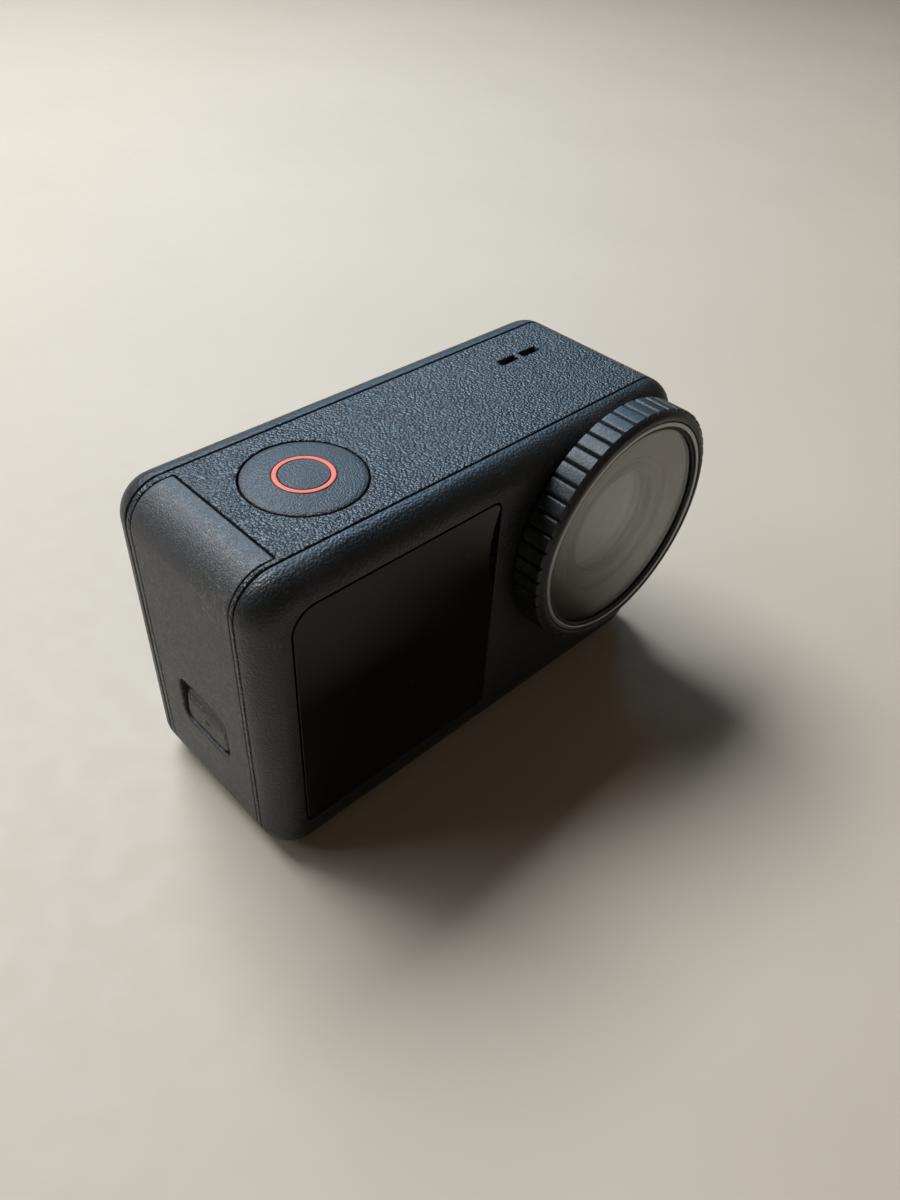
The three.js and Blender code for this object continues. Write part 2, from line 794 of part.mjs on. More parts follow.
function barrel() {
  const tip = front - barrelOut;
  const boreR = frontElementR + slideGap;
  const rearReach = rearElementT / 2 + innerCrown + slideGap;
  const middleReach = middleElementT / 2 + innerCrown + slideGap;
  const profile = [
    [boreR + retainerSeat, tip], [barrelR, tip], [barrelR, flangeY], [barrelRearR, flangeY + flangeT],
    [barrelRearR, barrelRearY], [rearElementR + slideGap, barrelRearY],
    [rearElementR + slideGap, rearElementY - rearReach],
    [rearElementR - apertureInset, rearElementY - rearReach],
    [rearElementR - apertureInset, middleElementY + middleReach],
    [middleElementR + slideGap, middleElementY + middleReach],
    [middleElementR + slideGap, middleElementY - middleReach],
    [boreR, middleElementY - middleReach],
    [boreR, tip + retainerT + slideGap], [boreR + retainerSeat, tip + retainerT + slideGap],
    [boreR + retainerSeat, tip],
  ];
  const tube = turned(profile, lensX, lensZ, 36);
  const plate = cut(
    slab(2 * flangeHalf, 2 * flangeHalf, flangeCornerR, lensX, lensZ, flangeY, flangeY + flangeT),
    discY(barrelRearR - barrelWall / 2, lensX, lensZ, flangeY - 1, flangeY + flangeT + 1, 36),
    ...lensScrewPlaces().map(([x, z]) => discY(screwR + pinGap, x, z, -far, 0, 12)),
  );
  return join(tube, plate);
}

// A lens element whose front and back bulge by "crown" in the middle.
function element(r, y, thickness, crownFront, crownBack, steps) {
  const rings = 3;
  const frontFace = [];
  const backFace = [];
  for (let i = 0; i <= rings; i++) {
    const share = i / rings;
    const drop = 1 - share * share;
    frontFace.push([r * share, y - thickness / 2 - crownFront * drop]);
    backFace.unshift([r * share, y + thickness / 2 + crownBack * drop]);
  }
  return turned([...frontFace, ...backFace], lensX, lensZ, steps);
}

const frontElementY = front - barrelOut + retainerT + 2 * slideGap + frontElementT / 2;

function addLens() {
  const tip = front - barrelOut;
  const retainerR = frontElementR + slideGap + retainerSeat - pinGap;
  piece("lens_barrel", barrel(), black, 0.5, 0.3);
  piece("lens_retaining_ring",
    ringY(retainerR, retainerR - retainerW, lensX, lensZ, tip, tip + retainerT), gloss, 0.35);
  piece("lens_front_element",
    element(frontElementR, frontElementY, frontElementT, frontElementCrown, 0, 28), 0x27303a, 0.03);
  piece("lens_middle_element",
    element(middleElementR, middleElementY, middleElementT, innerCrown, innerCrown, 24), 0x35404a, 0.03);
  piece("lens_rear_element",
    element(rearElementR, rearElementY, rearElementT, innerCrown, innerCrown, 24), 0x35404a, 0.03);
  const filterY = barrelRearY + seatGap + filterT / 2;
  piece("infrared_filter",
    block(lensX, filterY, lensZ, filterSize, filterT, filterSize), 0x2c4a52, 0.08);
  const sensorY = filterY + filterT / 2 + slideGap + sensorT / 2;
  piece("image_sensor", block(lensX, sensorY, lensZ, sensorW, sensorT, sensorH), 0x2a2d31, 0.3);
  const boardY = sensorY + sensorT / 2 + seatGap + boardT / 2;
  piece("sensor_board", block(lensX, boardY, lensZ, sensorBoard, boardT, sensorBoard), board, 0.6);
  const headY = flangeY + flangeT + seatGap;
  lensScrewPlaces().forEach(([x, z], i) => {
    piece(`lens_screw_${i + 1}`, screw(x, z, headY, innerFront - screwBite), steel, 0.35, 1);
  });
}

// ---- top: shutter button and microphones ----

function addShutter() {
  const flangeTop = frameTop - slideGap;
  const flangeLow = flangeTop - shutterFlangeT;
  const r = shutterR;
  const crown = [];
  const rings = 4;
  for (let i = 0; i <= rings; i++) {
    const share = 1 - i / rings;
    crown.push([r * share, bodyH + shutterCrown * (1 - share * share)]);
  }
  const ringTop = bodyH + shutterCrown * (1 - (shutterRingR / r) ** 2);
  const profile = [
    [0, flangeLow], [r + shutterFlange, flangeLow], [r + shutterFlange, flangeTop], [r, flangeTop],
    [r, bodyH - seatGap], ...crown.slice(1),
  ];
  const dome = uprightTurned(profile, shutterX, shutterY, 40);
  const inner = shutterRingR - shutterRingW;
  const ringLow = ringTop - shutterRingT;
  const groove = uprightRing(inner - seatGap / 2, shutterRingR + seatGap / 2, ringLow - seatGap, far);
  piece("shutter_button", cut(dome, groove), shellGrey, 0.6);
  piece("shutter_ring",
    uprightRing(inner, shutterRingR, ringLow, ringTop + shutterRingProud), orange, 0.45);
  const sealInner = r + shutterFlange + slideGap;
  piece("shutter_seal",
    uprightRing(sealInner, sealInner + shutterSealW, flangeLow, flangeTop), rubber, 0.9);
  const switchTop = flangeLow - shutterTravel - fitGap;
  piece("shutter_switch", join(
    block(shutterX, shutterY, switchTop - switchH / 2, switchSize, switchSize, switchH),
    discZ(switchKnobR, shutterX, shutterY, switchTop - seatGap, switchTop + switchKnobH, 20),
  ), steel, 0.4, 0.8);
}

// A square-edged ring about the shutter button's axis.
function uprightRing(inner, outer, z0, z1) {
  const profile = [[inner, z0], [outer, z0], [outer, z1], [inner, z1], [inner, z0]];
  return uprightTurned(profile, shutterX, shutterY, 40);
}

// A profile of [radius, height] points turned about an upright axis.
function uprightTurned(profile, x, y, steps) {
  const points = profile.map(([r, z]) => new THREE.Vector2(r, z));
  return new THREE.LatheGeometry(points, steps).rotateX(Math.PI / 2).translate(x, y, 0);
}

function addMicrophones() {
  const meshTop = frameTop - slideGap;
  piece("microphone_mesh",
    block(slotMidX, slotY, meshTop - meshT / 2, 2 * slotPitch, slotD + meshMargin, meshT),
    steel, 0.5, 1);
  const micTop = meshTop - meshT - fitGap;
  [["microphone_left", -0.5], ["microphone_right", 0.5]].forEach(([name, step]) => {
    piece(name, block(slotMidX + step * slotPitch, slotY, micTop - micH / 2, micW, micD, micH),
      brass, 0.35, 1);
  });
}

// ---- battery door, latch, battery, card ----

function latchOutline(w, h, r, z) {
  return roundedRect(w, h, r, latchY, z);
}

function batteryDoor() {
  const knuckle = common(
    doorSpace(0, doorT),
    join(
      box(-far, hingeX, -far, far, -far, far),
      box(-far, far, -far, far, -far, hingeZ),
      discY(hingeDepth, hingeX, hingeZ, -far, far, 32),
    ),
  );
  const inBody = common(knuckle, extrude(bodyOutline(), "y", frameFront, frameRear, 0, filletSteps));
  const recess = latchOutline(
    latchW + 2 * fitGap, latchSweep, latchR + fitGap, latchZ + latchTravel / 2);
  const stemSlot = block(-side, latchY, latchZ + latchTravel / 2,
    4 * doorT, latchStemW + 2 * slideGap, latchStemH + latchTravel + 2 * slideGap);
  return cut(
    inBody,
    extrude(recess, "x", -far, -side + latchRecess),
    stemSlot,
    discY(pinR + pinGap, hingeX, hingeZ, -far, far, 16),
  );
}

// The latch's face, a stem through the door, and a wider head behind it.
function latch() {
  const faceBack = -side + latchRecess - slideGap;
  const headX = doorInner + slideGap;
  const face = extrude(
    latchOutline(latchW, latchH, latchR, latchZ), "x", faceBack - latchT, faceBack);
  const stem = box(faceBack - latchT / 2, headX + latchHeadT / 2,
    latchY - latchStemW / 2, latchY + latchStemW / 2,
    latchZ - latchStemH / 2, latchZ + latchStemH / 2);
  const head = block(headX + latchHeadT / 2, latchY, latchZ, latchHeadT, latchHeadW, latchHeadH);
  return join(face, stem, head);
}

function addBatteryDoor() {
  piece("battery_door", batteryDoor(), doorGrey, 0.75);
  piece("battery_door_pin",
    discY(pinR, hingeX, hingeZ, doorFront - pinEngage, doorRear + pinEngage, 12), steel, 0.3, 1);
  piece("battery_door_latch", latch(), doorGrey, 0.7);
  const low = cardY - cardT - doorSealRoom;
  const high = bayY1 + doorSealRoom;
  const w = high - low;
  const h = bayZ1 - bayZ0 + 2 * doorSealRoom;
  const inset = doorSealW;
  const outer = roundedRect(w, h, doorSealR, (low + high) / 2, batteryZ);
  const inner = roundedRect(
    w - 2 * inset, h - 2 * inset, doorSealR - inset, (low + high) / 2, batteryZ);
  piece("battery_door_seal",
    extrude(frameShape(outer, inner), "x", doorInner + seatGap, doorInner + seatGap + doorSealT),
    rubber, 0.9);
}

function addBattery() {
  const bay = cut(
    box(bayX0, bayX1 + bayWall, bayY0 - bayWall, bayY1 + bayWall, bayZ0 - bayWall, bayZ1 + bayWall),
    box(bayX0 - 1, bayX1, bayY0, bayY1, bayZ0, bayZ1),
  );
  piece("battery_bay", bay, black, 0.7);
  piece("battery_pack", extrude(
    roundedRect(batteryD, batteryH, batteryR, batteryY, batteryZ), "x", batteryX0, batteryX1,
  ), 0x222426, 0.6);
  piece("battery_contacts",
    block(bayX1 - seatGap - contactT / 2, batteryY, batteryZ, contactT, contactW, contactH),
    brass, 0.35, 1);
  addCard();
}

// The card's socket is a flat sleeve, open to the door.
function addCard() {
  const halfSlot = cardH / 2 + fitGap;
  const halfHeight = halfSlot + socketWall;
  const slot = box(bayX0 - 1, bayX0 + cardL + fitGap,
    cardY - (cardT + slideGap) / 2, cardY + (cardT + slideGap) / 2,
    cardZ - halfSlot, cardZ + halfSlot);
  const sleeve = box(bayX0, socketX1, cardY - socketT / 2, cardY + socketT / 2,
    cardZ - halfHeight, cardZ + halfHeight);
  piece("card_socket", cut(sleeve, slot), steel, 0.35, 0.9);
  piece("memory_card",
    block(batteryX0 + cardL / 2, cardY, cardZ, cardL, cardT, cardH), 0x191a1c, 0.6);
}

// ---- boards ----

function addBoards() {
  const boardFront = mainBoardY - boardT;
  const low = boardFromTop;
  const high = bodyH - boardFromTop;
  piece("main_board",
    box(bulkheadEnd + 2 * fitGap, mainBoardRight, boardFront, mainBoardY, low, high), board, 0.6);
  const shieldX = mainBoardRight - shieldFromEdge - shieldSize / 2;
  const shieldY = boardFront - seatGap - shieldT / 2;
  piece("processor_shield",
    block(shieldX, shieldY, midZ, shieldSize, shieldT, shieldSize), steel, 0.35, 0.9);
  const spreaderY = mainBoardY + seatGap;
  piece("heat_spreader",
    box(socketX1 + spreaderFromCard, mainBoardRight, spreaderY, spreaderY + spreaderT,
      low + spreaderInset, high - spreaderInset), 0xb87348, 0.35, 1);
  const antennaZ = bayZ1 + bayWall + fitGap + antennaT / 2;
  piece("antenna",
    block(bayX1 - antennaW / 2, batteryY, antennaZ, antennaW, antennaD, antennaT), brass, 0.4, 1);
  const floor = padTop + fitGap;
  piece("speaker",
    block(speakerX, speakerY, floor + speakerH / 2, speakerW, speakerD, speakerH), black, 0.6);
}

// ---- right side: port and mode button ----

function portDoor() {
  const panel = extrude(portOutline(0), "x", side - portDoorT, side);
  const knuckle = join(
    box(-far, far, -far, portHingeY, -far, far),
    box(-far, portHingeX, -far, far, -far, far),
    discZ(hingeDepth, portHingeX, portHingeY, -far, far, 32),
  );
  const bore = discZ(pinR + pinGap, portHingeX, portHingeY, -far, far, 16);
  const nail = discZ(nailR, side + nailOut, -portDoorW / 2 + nailIn,
    portDoorZ - nailH / 2, portDoorZ + nailH / 2, 24);
  return cut(common(panel, knuckle), bore, nail);
}

function addPort() {
  piece("port_door", portDoor(), doorGrey, 0.75);
  piece("port_door_pin",
    discZ(pinR, portHingeX, portHingeY, portDoorZ - portPinReach, portDoorZ + portPinReach, 12),
    steel, 0.3, 1);
  const holeW = portW + 6 * fitGap;
  const holeH = portH + 6 * fitGap;
  const outer = pill(holeW + 2 * portSealW, holeH + 2 * portSealW, 0, portDoorZ);
  const inner = pill(holeW, holeH, 0, portDoorZ);
  const sealX = side - portDoorT - pinGap;
  piece("port_door_seal",
    extrude(frameShape(outer, inner), "x", sealX - portSealT, sealX), rubber, 0.9);
  addPortSocket();
}

function addPortSocket() {
  const mouth = side - portRecess - fitGap;
  const back = mouth - portL;
  const socket = pill(portW - 2 * portWall, portH - 2 * portWall, 0, portDoorZ);
  const shell = cut(
    extrude(pill(portW, portH, 0, portDoorZ), "x", back, mouth),
    extrude(socket, "x", back + portBackWall, mouth + 1),
  );
  piece("port_shell", shell, steel, 0.3, 1);
  const tongueX = back + portBackWall + slideGap;
  piece("port_tongue",
    box(tongueX, tongueX + tongueL, -tongueT / 2, tongueT / 2,
      portDoorZ - tongueH / 2, portDoorZ + tongueH / 2), black, 0.5);
  const boardX = mouth - portBoardInset;
  const boardY = portW / 2 + fitGap;
  piece("port_board",
    box(boardX - portBoardL, boardX, boardY, boardY + boardT,
      portDoorZ - portBoardH / 2, portDoorZ + portBoardH / 2), board, 0.6);
}

function addModeButton() {
  const flangeEnd = frameSide - fitGap;
  const flangeStart = flangeEnd - modeFlangeT;
  const cap = extrude(
    pill(modeW, modeH, modeY, modeZ), "x", flangeEnd - modeFlangeT / 2, side + modeProud);
  const flange = extrude(
    pill(modeW + 2 * modeFlange, modeH + 2 * modeFlange, modeY, modeZ), "x", flangeStart, flangeEnd);
  piece("mode_button", join(cap, flange), shellGrey, 0.6);
  const knobEnd = flangeStart - modeTravel - fitGap;
  const { depth: bodyT, width, height } = modeSwitch;
  piece("mode_switch", join(
    block(knobEnd - modeKnob.depth - bodyT / 2 + seatGap, modeY, modeZ, bodyT, width, height),
    block(knobEnd - modeKnob.depth / 2, modeY, modeZ, modeKnob.depth, modeKnob.width, modeKnob.height),
  ), steel, 0.4, 0.8);
}

// ---- bottom plate ----

function bottomPlate() {
  return extrude(roundedRect(plateW, plateD, plateR), "z", 0, plateT);
}

// ---- the whole camera ----

piece("front_shell", frontShell(), shellGrey, 0.6);
piece("mid_frame", midFrame(), shellGrey, 0.75);
piece("rear_shell", rearShell(), shellGrey, 0.6);
addGlasses();
addLensCover();
addLens();
addShutter();
addMicrophones();
addBatteryDoor();
addBattery();
addBoards();
addPort();
addModeButton();
piece("bottom_plate", bottomPlate(), steel, 0.35, 0.9);
rearScrewPlaces().forEach(([x, z], i) => {
  piece(`rear_screw_${i + 1}`, screw(x, z, rearHeadY(), frameRear - screwBite), steel, 0.35, 1);
});

export default camera;
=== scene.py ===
"""The looks of a pocket action camera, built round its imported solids.

Shapes are worked out in millimetres and become metres when a mesh is made. X runs along the body, -Y is
the front, where the lens is, and +Z is up. The body's band and the battery door are flat drawings bent
round the body's outline, the shells are stacks of rings, and the round pieces are turned profiles.
"""

import json
import math

import bmesh
import bpy
import numpy as np
from mathutils import Matrix, Vector
from mathutils.geometry import delaunay_2d_cdt


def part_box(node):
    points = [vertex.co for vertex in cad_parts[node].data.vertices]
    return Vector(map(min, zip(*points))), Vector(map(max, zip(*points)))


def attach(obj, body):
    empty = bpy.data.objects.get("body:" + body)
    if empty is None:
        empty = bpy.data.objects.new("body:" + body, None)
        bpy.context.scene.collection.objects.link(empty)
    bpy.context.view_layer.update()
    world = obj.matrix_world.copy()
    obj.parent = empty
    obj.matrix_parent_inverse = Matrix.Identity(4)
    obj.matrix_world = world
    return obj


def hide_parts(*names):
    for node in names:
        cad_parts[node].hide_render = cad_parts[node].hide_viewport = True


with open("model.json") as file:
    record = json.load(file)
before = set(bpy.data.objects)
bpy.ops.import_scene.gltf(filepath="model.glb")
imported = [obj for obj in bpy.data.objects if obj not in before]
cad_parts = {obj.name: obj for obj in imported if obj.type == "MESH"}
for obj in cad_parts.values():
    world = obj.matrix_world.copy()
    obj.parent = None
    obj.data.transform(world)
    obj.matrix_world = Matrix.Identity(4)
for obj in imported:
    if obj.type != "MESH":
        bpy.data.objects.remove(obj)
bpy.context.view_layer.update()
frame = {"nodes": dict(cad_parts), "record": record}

MM = 0.001
MERGE = 0.002  # points closer than this, in millimetres, are one point
SHARP = math.radians(40)


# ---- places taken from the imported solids, in millimetres ----

def span(node):
    """The lowest and highest corners of a node."""
    low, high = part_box(node)
    return np.array(low) / MM, np.array(high) / MM


def middle(node):
    low, high = span(node)
    return (low + high) / 2


def size(node):
    low, high = span(node)
    return high - low


front_shell_depth = 3.75  # from its face to its seam, without the boss
side = span("mid_frame")[1][0]
top = span("mid_frame")[1][2]
frame_front = span("mid_frame")[0][1]
frame_rear = span("mid_frame")[1][1]
front = span("front_shell")[1][1] - front_shell_depth
rear = span("rear_shell")[1][1]
shell_front_edge = span("front_shell")[1][1]
shell_rear_edge = span("rear_shell")[0][1]
mid_z = top / 2
lens_x, _, lens_z = middle("lens_cover_ring")
cover_r = size("lens_cover_ring")[0] / 2
cover_tip = span("lens_cover_ring")[0][1]
cover_base = span("lens_cover_ring")[1][1]
shutter_x, shutter_y, _ = middle("shutter_button")
door_low, door_high = span("battery_door")
port_low, port_high = span("port_door")
port_z = (port_low[2] + port_high[2]) / 2
latch_y, latch_z = middle("battery_door_latch")[1:]

# sizes that the boxes of the solids don't give
corner_r = 4.9
front_fillet = 3.8
rear_fillet = 4.4
band_wall = 1.6
rim_wall = 2.3
face_wall = 2.0
seam = 0.2
slide = 0.2
door_gap = 0.11
fit = 0.3
soft_edge = 0.16
shutter_r = 7.0
shutter_crown = 0.45
boss_r = 13.9
boss_out = 2.3
bore_r = 9.8
door_wall = 1.7
hinge_r = 0.75
lip_r = 0.34  # enough for the lip to turn inside the frame's edge
latch_room = 1.0
latch_travel = 1.4
latch_stem = (4.0, 3.0)
latch_head = (5.6, 3.6)
latch_opening = (9.1, 5.2)
mode_size = (3.6, 9.0)
port_corners = (0.05, 2.0, 2.0, 0.05)
plate_corner = 1.5
free_corner = 0.35  # of the battery door and of its opening
# four radii each, anticlockwise from the upper right
glass_corners = {"front_glass": (1.3, 3.0, 1.0, 1.3), "rear_glass": (3.2, 3.2, 3.2, 3.2)}


# ---- rings ----

def rounded(w, h, r, u=0.0, v=0.0, grow=0.0, steps=12):
    """A rectangle with round corners: a quarter circle round each corner's centre, with straight sides
    between. r is one radius, or four, anticlockwise from the upper right."""
    radii = np.broadcast_to(np.asarray(r, float), 4) + grow
    w, h = w + 2 * grow, h + 2 * grow
    turn = np.linspace(0, np.pi / 2, steps + 1)
    ring = []
    for quarter, (a, b) in enumerate(((1, 1), (-1, 1), (-1, -1), (1, -1))):
        angle = turn + quarter * np.pi / 2
        bend_r = max(radii[quarter], 0.01)
        ring.append(np.stack([u + a * (w / 2 - bend_r) + bend_r * np.cos(angle),
                              v + b * (h / 2 - bend_r) + bend_r * np.sin(angle)], 1))
    return np.concatenate(ring)


def circle(r, u=0.0, v=0.0, steps=96):
    """A circle: the radius times the cosine and sine of evenly spaced angles."""
    angle = np.linspace(0, 2 * np.pi, steps, endpoint=False)
    return np.stack([u + r * np.cos(angle), v + r * np.sin(angle)], 1)


def at_x(ring, x):
    """Points drawn in Y and Z, placed at x, which is one number or one for each point."""
    return np.stack([np.zeros(len(ring)) + x, ring[:, 0], ring[:, 1]], 1)


def at_y(ring, y):
    """Points drawn in X and Z, placed at y."""
    return np.stack([ring[:, 0], np.zeros(len(ring)) + y, ring[:, 1]], 1)


def at_z(ring, z):
    """Points drawn in X and Y, placed at z."""
    return np.stack([ring[:, 0], ring[:, 1], np.zeros(len(ring)) + z], 1)


def soft(r, steps=4):
    """A rounded edge as (inset, depth) pairs: a quarter circle from the face down into the wall."""
    a = np.linspace(0, np.pi / 2, steps + 1)
    return np.stack([r * (1 - np.sin(a)), r * (1 - np.cos(a))], 1)


def inside(points, ring):
    """Which points lie inside a ring: a ray from the point crosses the ring an odd number of times."""
    a, b = ring, np.roll(ring, -1, axis=0)
    x, y = points[:, :1], points[:, 1:]
    spans = (a[:, 1] > y) != (b[:, 1] > y)
    rise = np.where(b[:, 1] == a[:, 1], 1e-12, b[:, 1] - a[:, 1])
    return (spans & (x < a[:, 0] + (y - a[:, 1]) * (b[:, 0] - a[:, 0]) / rise)).sum(1) % 2 == 1


class Solid:
    """Points and faces gathered one surface at a time, then merged into one closed mesh."""

    def __init__(self):
        self.points, self.faces, self.count = [], [], 0

    def add(self, points, faces):
        self.points.append(np.asarray(points, float))
        self.faces.extend((np.asarray(faces) + self.count).tolist())
        self.count += len(points)
        return self

    def loft(self, rings, closed=True):
        """Rows of points joined by quads, each row to the next; a closed row joins its end to its start."""
        rings = np.asarray(rings, float)
        m, n = rings.shape[:2]
        row = np.arange(m - 1)[:, None] * n
        col = np.arange(n if closed else n - 1)[None, :]
        after = (col + 1) % n
        quads = np.stack([row + col, row + after, row + n + after, row + n + col], -1)
        return self.add(rings.reshape(-1, 3), quads.reshape(-1, 4))

    def cap(self, ring):
        """One flat face over a ring."""
        return self.add(ring, [list(range(len(ring)))])

    def fill(self, rings, put, inner=()):
        """The region inside the first ring and outside the others, cut into triangles and then placed."""
        points, edges, start = [*rings], [], 0
        for ring in rings:
            index = np.arange(len(ring))
            edges.append(np.stack([index, (index + 1) % len(ring)], 1) + start)
            start += len(ring)
        if len(inner):
            points.append(inner)
        found = delaunay_2d_cdt([Vector(p) for p in np.concatenate(points).tolist()],
                                np.concatenate(edges).tolist(), [], 0, 1e-6)
        flat = np.array([tuple(p) for p in found[0]])
        triangles = np.array([tuple(t) for t in found[2]])
        centres = flat[triangles].mean(1)
        keep = inside(centres, rings[0])
        for ring in rings[1:]:
            keep &= ~inside(centres, ring)
        return self.add(put(flat), triangles[keep])

    def object(self, name):
        """The merged mesh, in metres, with its faces pointing out."""
        mesh = bpy.data.meshes.new(name)
        mesh.from_pydata(np.concatenate(self.points).tolist(), [], self.faces)
        work = bmesh.new()
        work.from_mesh(mesh)
        bmesh.ops.remove_doubles(work, verts=work.verts, dist=MERGE)
        bmesh.ops.dissolve_degenerate(work, edges=work.edges, dist=MERGE / 4)
        bmesh.ops.recalc_face_normals(work, faces=work.faces)
        bmesh.ops.scale(work, vec=(MM, MM, MM), verts=work.verts)
        work.to_mesh(mesh)
        work.free()
        made = bpy.data.objects.new(name, mesh)
        bpy.context.scene.collection.objects.link(made)
        return made


def turned(profile, put, u, v, steps=96, closed=True):
    """A profile of (radius, place) pairs turned about an axis through (u, v): each pair becomes a circle."""
    profile = np.asarray(profile, float)
    if closed:
        profile = np.concatenate([profile, profile[:1]])
    made = Solid()
    made.loft([put(circle(r, u, v, steps), along) for r, along in profile])
    return made


def eased(corners, radii, steps=4):
    """A closed profile with eased corners: a parabola from a little before each corner to a little after."""
    corners = np.asarray(corners, float)
    t = np.linspace(0, 1, steps + 1)[:, None]
    out = []
    for p, a, b, r in zip(corners, np.roll(corners, 1, 0), np.roll(corners, -1, 0), radii):
        if r == 0:
            out.append(p[None])
            continue
        first = p + (a - p) * min(r / np.linalg.norm(a - p), 0.49)
        last = p + (b - p) * min(r / np.linalg.norm(b - p), 0.49)
        out.append((1 - t) ** 2 * first + 2 * t * (1 - t) * p + t ** 2 * last)
    return np.concatenate(out)


# ---- the body's band: distance round the outline, place across it, and depth below its surface ----

flat_x = side - corner_r
flat_z = top - 2 * corner_r
bend = math.pi / 2 * corner_r
marks = np.cumsum([0, flat_x, bend, flat_z, bend, 2 * flat_x, bend, flat_z, bend, flat_x])
bend_x = np.array([0, -1, -1, -1, -1, 1, 1, 1, 1, 0]) * flat_x
bend_z = np.array([1, 1, 1, 0, 0, 0, 0, 1, 1, 1]) * flat_z + corner_r
facing = np.radians([90, 90, 180, 180, 270, 270, 360, 360, 450, 450])
around = marks[-1]
left_end = flat_x + 2 * bend + flat_z  # where the bottom's flat starts, on the left
joint = left_end + 5.0  # where the band's drawing closes on itself, on the bottom


def wrap(points, depth=0.0):
    """Bends a flat drawing round the body: the centre of the bend moves along the flats, the outward
    direction turns at the corners, and a point is a corner radius less its depth from that centre."""
    s = points[:, 0] % around
    angle = np.interp(s, marks, facing)
    reach = corner_r - depth
    return np.stack([np.interp(s, marks, bend_x) + reach * np.cos(angle), points[:, 1],
                     np.interp(s, marks, bend_z) + reach * np.sin(angle)], 1)


def on_top(ring):
    """A ring drawn in X and Y, laid on the band's top."""
    return ring * (-1, 1)


def on_right(ring):
    """A ring drawn in Y and Z, laid on the band's right side."""
    return np.stack([ring[:, 1] - (flat_x + bend + top - corner_r), ring[:, 0]], 1)


def on_left(ring):
    """A ring drawn in Y and Z, laid on the band's left side."""
    return np.stack([flat_x + bend + top - corner_r - ring[:, 1], ring[:, 0]], 1)


def on_bottom(ring):
    """A ring drawn in X and Y, laid on the band's bottom."""
    return np.stack([ring[:, 0] - (2 * flat_x + 2 * bend + flat_z), ring[:, 1]], 1)


def bend_steps(low, high, coarse=3.0, fine=0.32):
    """Places along the band: close together round the corners and wide apart on the flats."""
    stops = np.concatenate([marks[1:] - around, marks])
    ends = np.concatenate([[low], stops[(stops > low + 0.01) & (stops < high - 0.01)], [high]])
    out = []
    for a, b in zip(ends[:-1], ends[1:]):
        m = (a + b) / 2
        turn = np.diff(np.interp([(m - 0.01) % around, (m + 0.01) % around], marks, facing))[0]
        out.append(np.linspace(a, b, math.ceil((b - a) / (fine if turn > 1e-6 else coarse)), endpoint=False))
    return np.concatenate(out + [[high]])


def patch(low, high, r=0.0, start=0.0, end=0.0, near=0.0, far=0.0, steps=5):
    """A rectangle on the band between two corners, as a ring that is fine where the band bends. Then its
    four sides move in by start, end, near and far, by scaling it between its corners."""
    low, high = np.asarray(low, float), np.asarray(high, float)
    s = bend_steps(low[0] + r, high[0] - r)
    y = np.linspace(low[1] + r, high[1] - r, 8)
    a = np.linspace(0, np.pi / 2, steps + 1)[1:-1]
    parts = []
    for quarter, (u, v) in enumerate(((1, 0), (1, 1), (0, 1), (0, 0))):
        run = (s, y, s[::-1], y[::-1])[quarter]
        fixed = np.full(len(run), (low[1], high[0], high[1], low[0])[quarter])
        line = np.stack([run, fixed] if quarter % 2 == 0 else [fixed, run], 1)
        parts.append(line if r > 0 else line[:-1])
        if r > 0:
            angle = a + (quarter - 1) * np.pi / 2
            centre = np.where((u, v), high - r, low + r)
            parts.append(centre + r * np.stack([np.cos(angle), np.sin(angle)], 1))
    ring = np.concatenate(parts)
    new_low, new_high = low + (start, near), high - (end, far)
    return new_low + (ring - low) / (high - low) * (new_high - new_low)


def bend_grid(low, high, holes=(), step=2.0, room=0.3):
    """Points inside a region of the band, clear of its holes, so that its triangles follow the bends."""
    s = bend_steps(low[0], high[0])[1:-1]
    y = np.linspace(low[1], high[1], max(2, int((high[1] - low[1]) / step)) + 1)[1:-1]
    points = np.stack(np.meshgrid(s, y, indexing="ij"), -1).reshape(-1, 2)
    for ring in holes:
        centre = (ring.min(0) + ring.max(0)) / 2
        reach = (ring.max(0) - ring.min(0)) / 2
        points = points[~inside(points, centre + (ring - centre) * (1 + room / reach))]
    return points


# ---- finishing and cutting ----

def place(piece, body, slot, *nodes):
    """Smooths a finished piece, gives it its material and body, and hides the nodes it stands for."""
    mesh = piece.data
    mesh.shade_smooth()
    mesh.set_sharp_from_angle(angle=SHARP)
    weighted = piece.modifiers.new("weighted normals", "WEIGHTED_NORMAL")
    weighted.keep_sharp = True
    mesh.materials.clear()
    mesh.materials.append(finishes[slot])
    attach(piece, body)
    if nodes:
        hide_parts(*nodes)


def boolean(piece, operation, other):
    """Joins a piece with another or cuts it with the other, which is then removed."""
    step = piece.modifiers.new(operation, "BOOLEAN")
    step.operation = operation
    step.solver = "EXACT"
    step.object = other
    graph = bpy.context.evaluated_depsgraph_get()
    result = bpy.data.meshes.new_from_object(piece.evaluated_get(graph))
    piece.modifiers.clear()
    piece.data = result
    bpy.data.objects.remove(other)


def stack(outline, put, levels):
    """A closed stack of rings: outline(inset) drawn at each (inset, place) level, capped at both ends."""
    rings = [put(outline(inset), along) for inset, along in levels]
    return Solid().loft(rings).cap(rings[0]).cap(rings[-1])


def plate_levels(face, back, edge=soft_edge):
    """Levels of a flat plate whose two edges are rounded, from its face to its back."""
    toward = 1 if back > face else -1
    down = [(inset, face + toward * depth) for inset, depth in soft(edge)]
    up = [(inset, back - toward * depth) for inset, depth in soft(edge)][::-1]
    return down + up


def cutter_levels(face, end, edge=soft_edge):
    """Levels of a cutter that leaves a rounded edge at a face: it flares out there and runs on past it."""
    toward = 1 if end > face else -1
    flare = [(-inset, face + toward * depth) for inset, depth in soft(edge)]
    return [(-edge, face - toward)] + flare + [(0.0, end)]


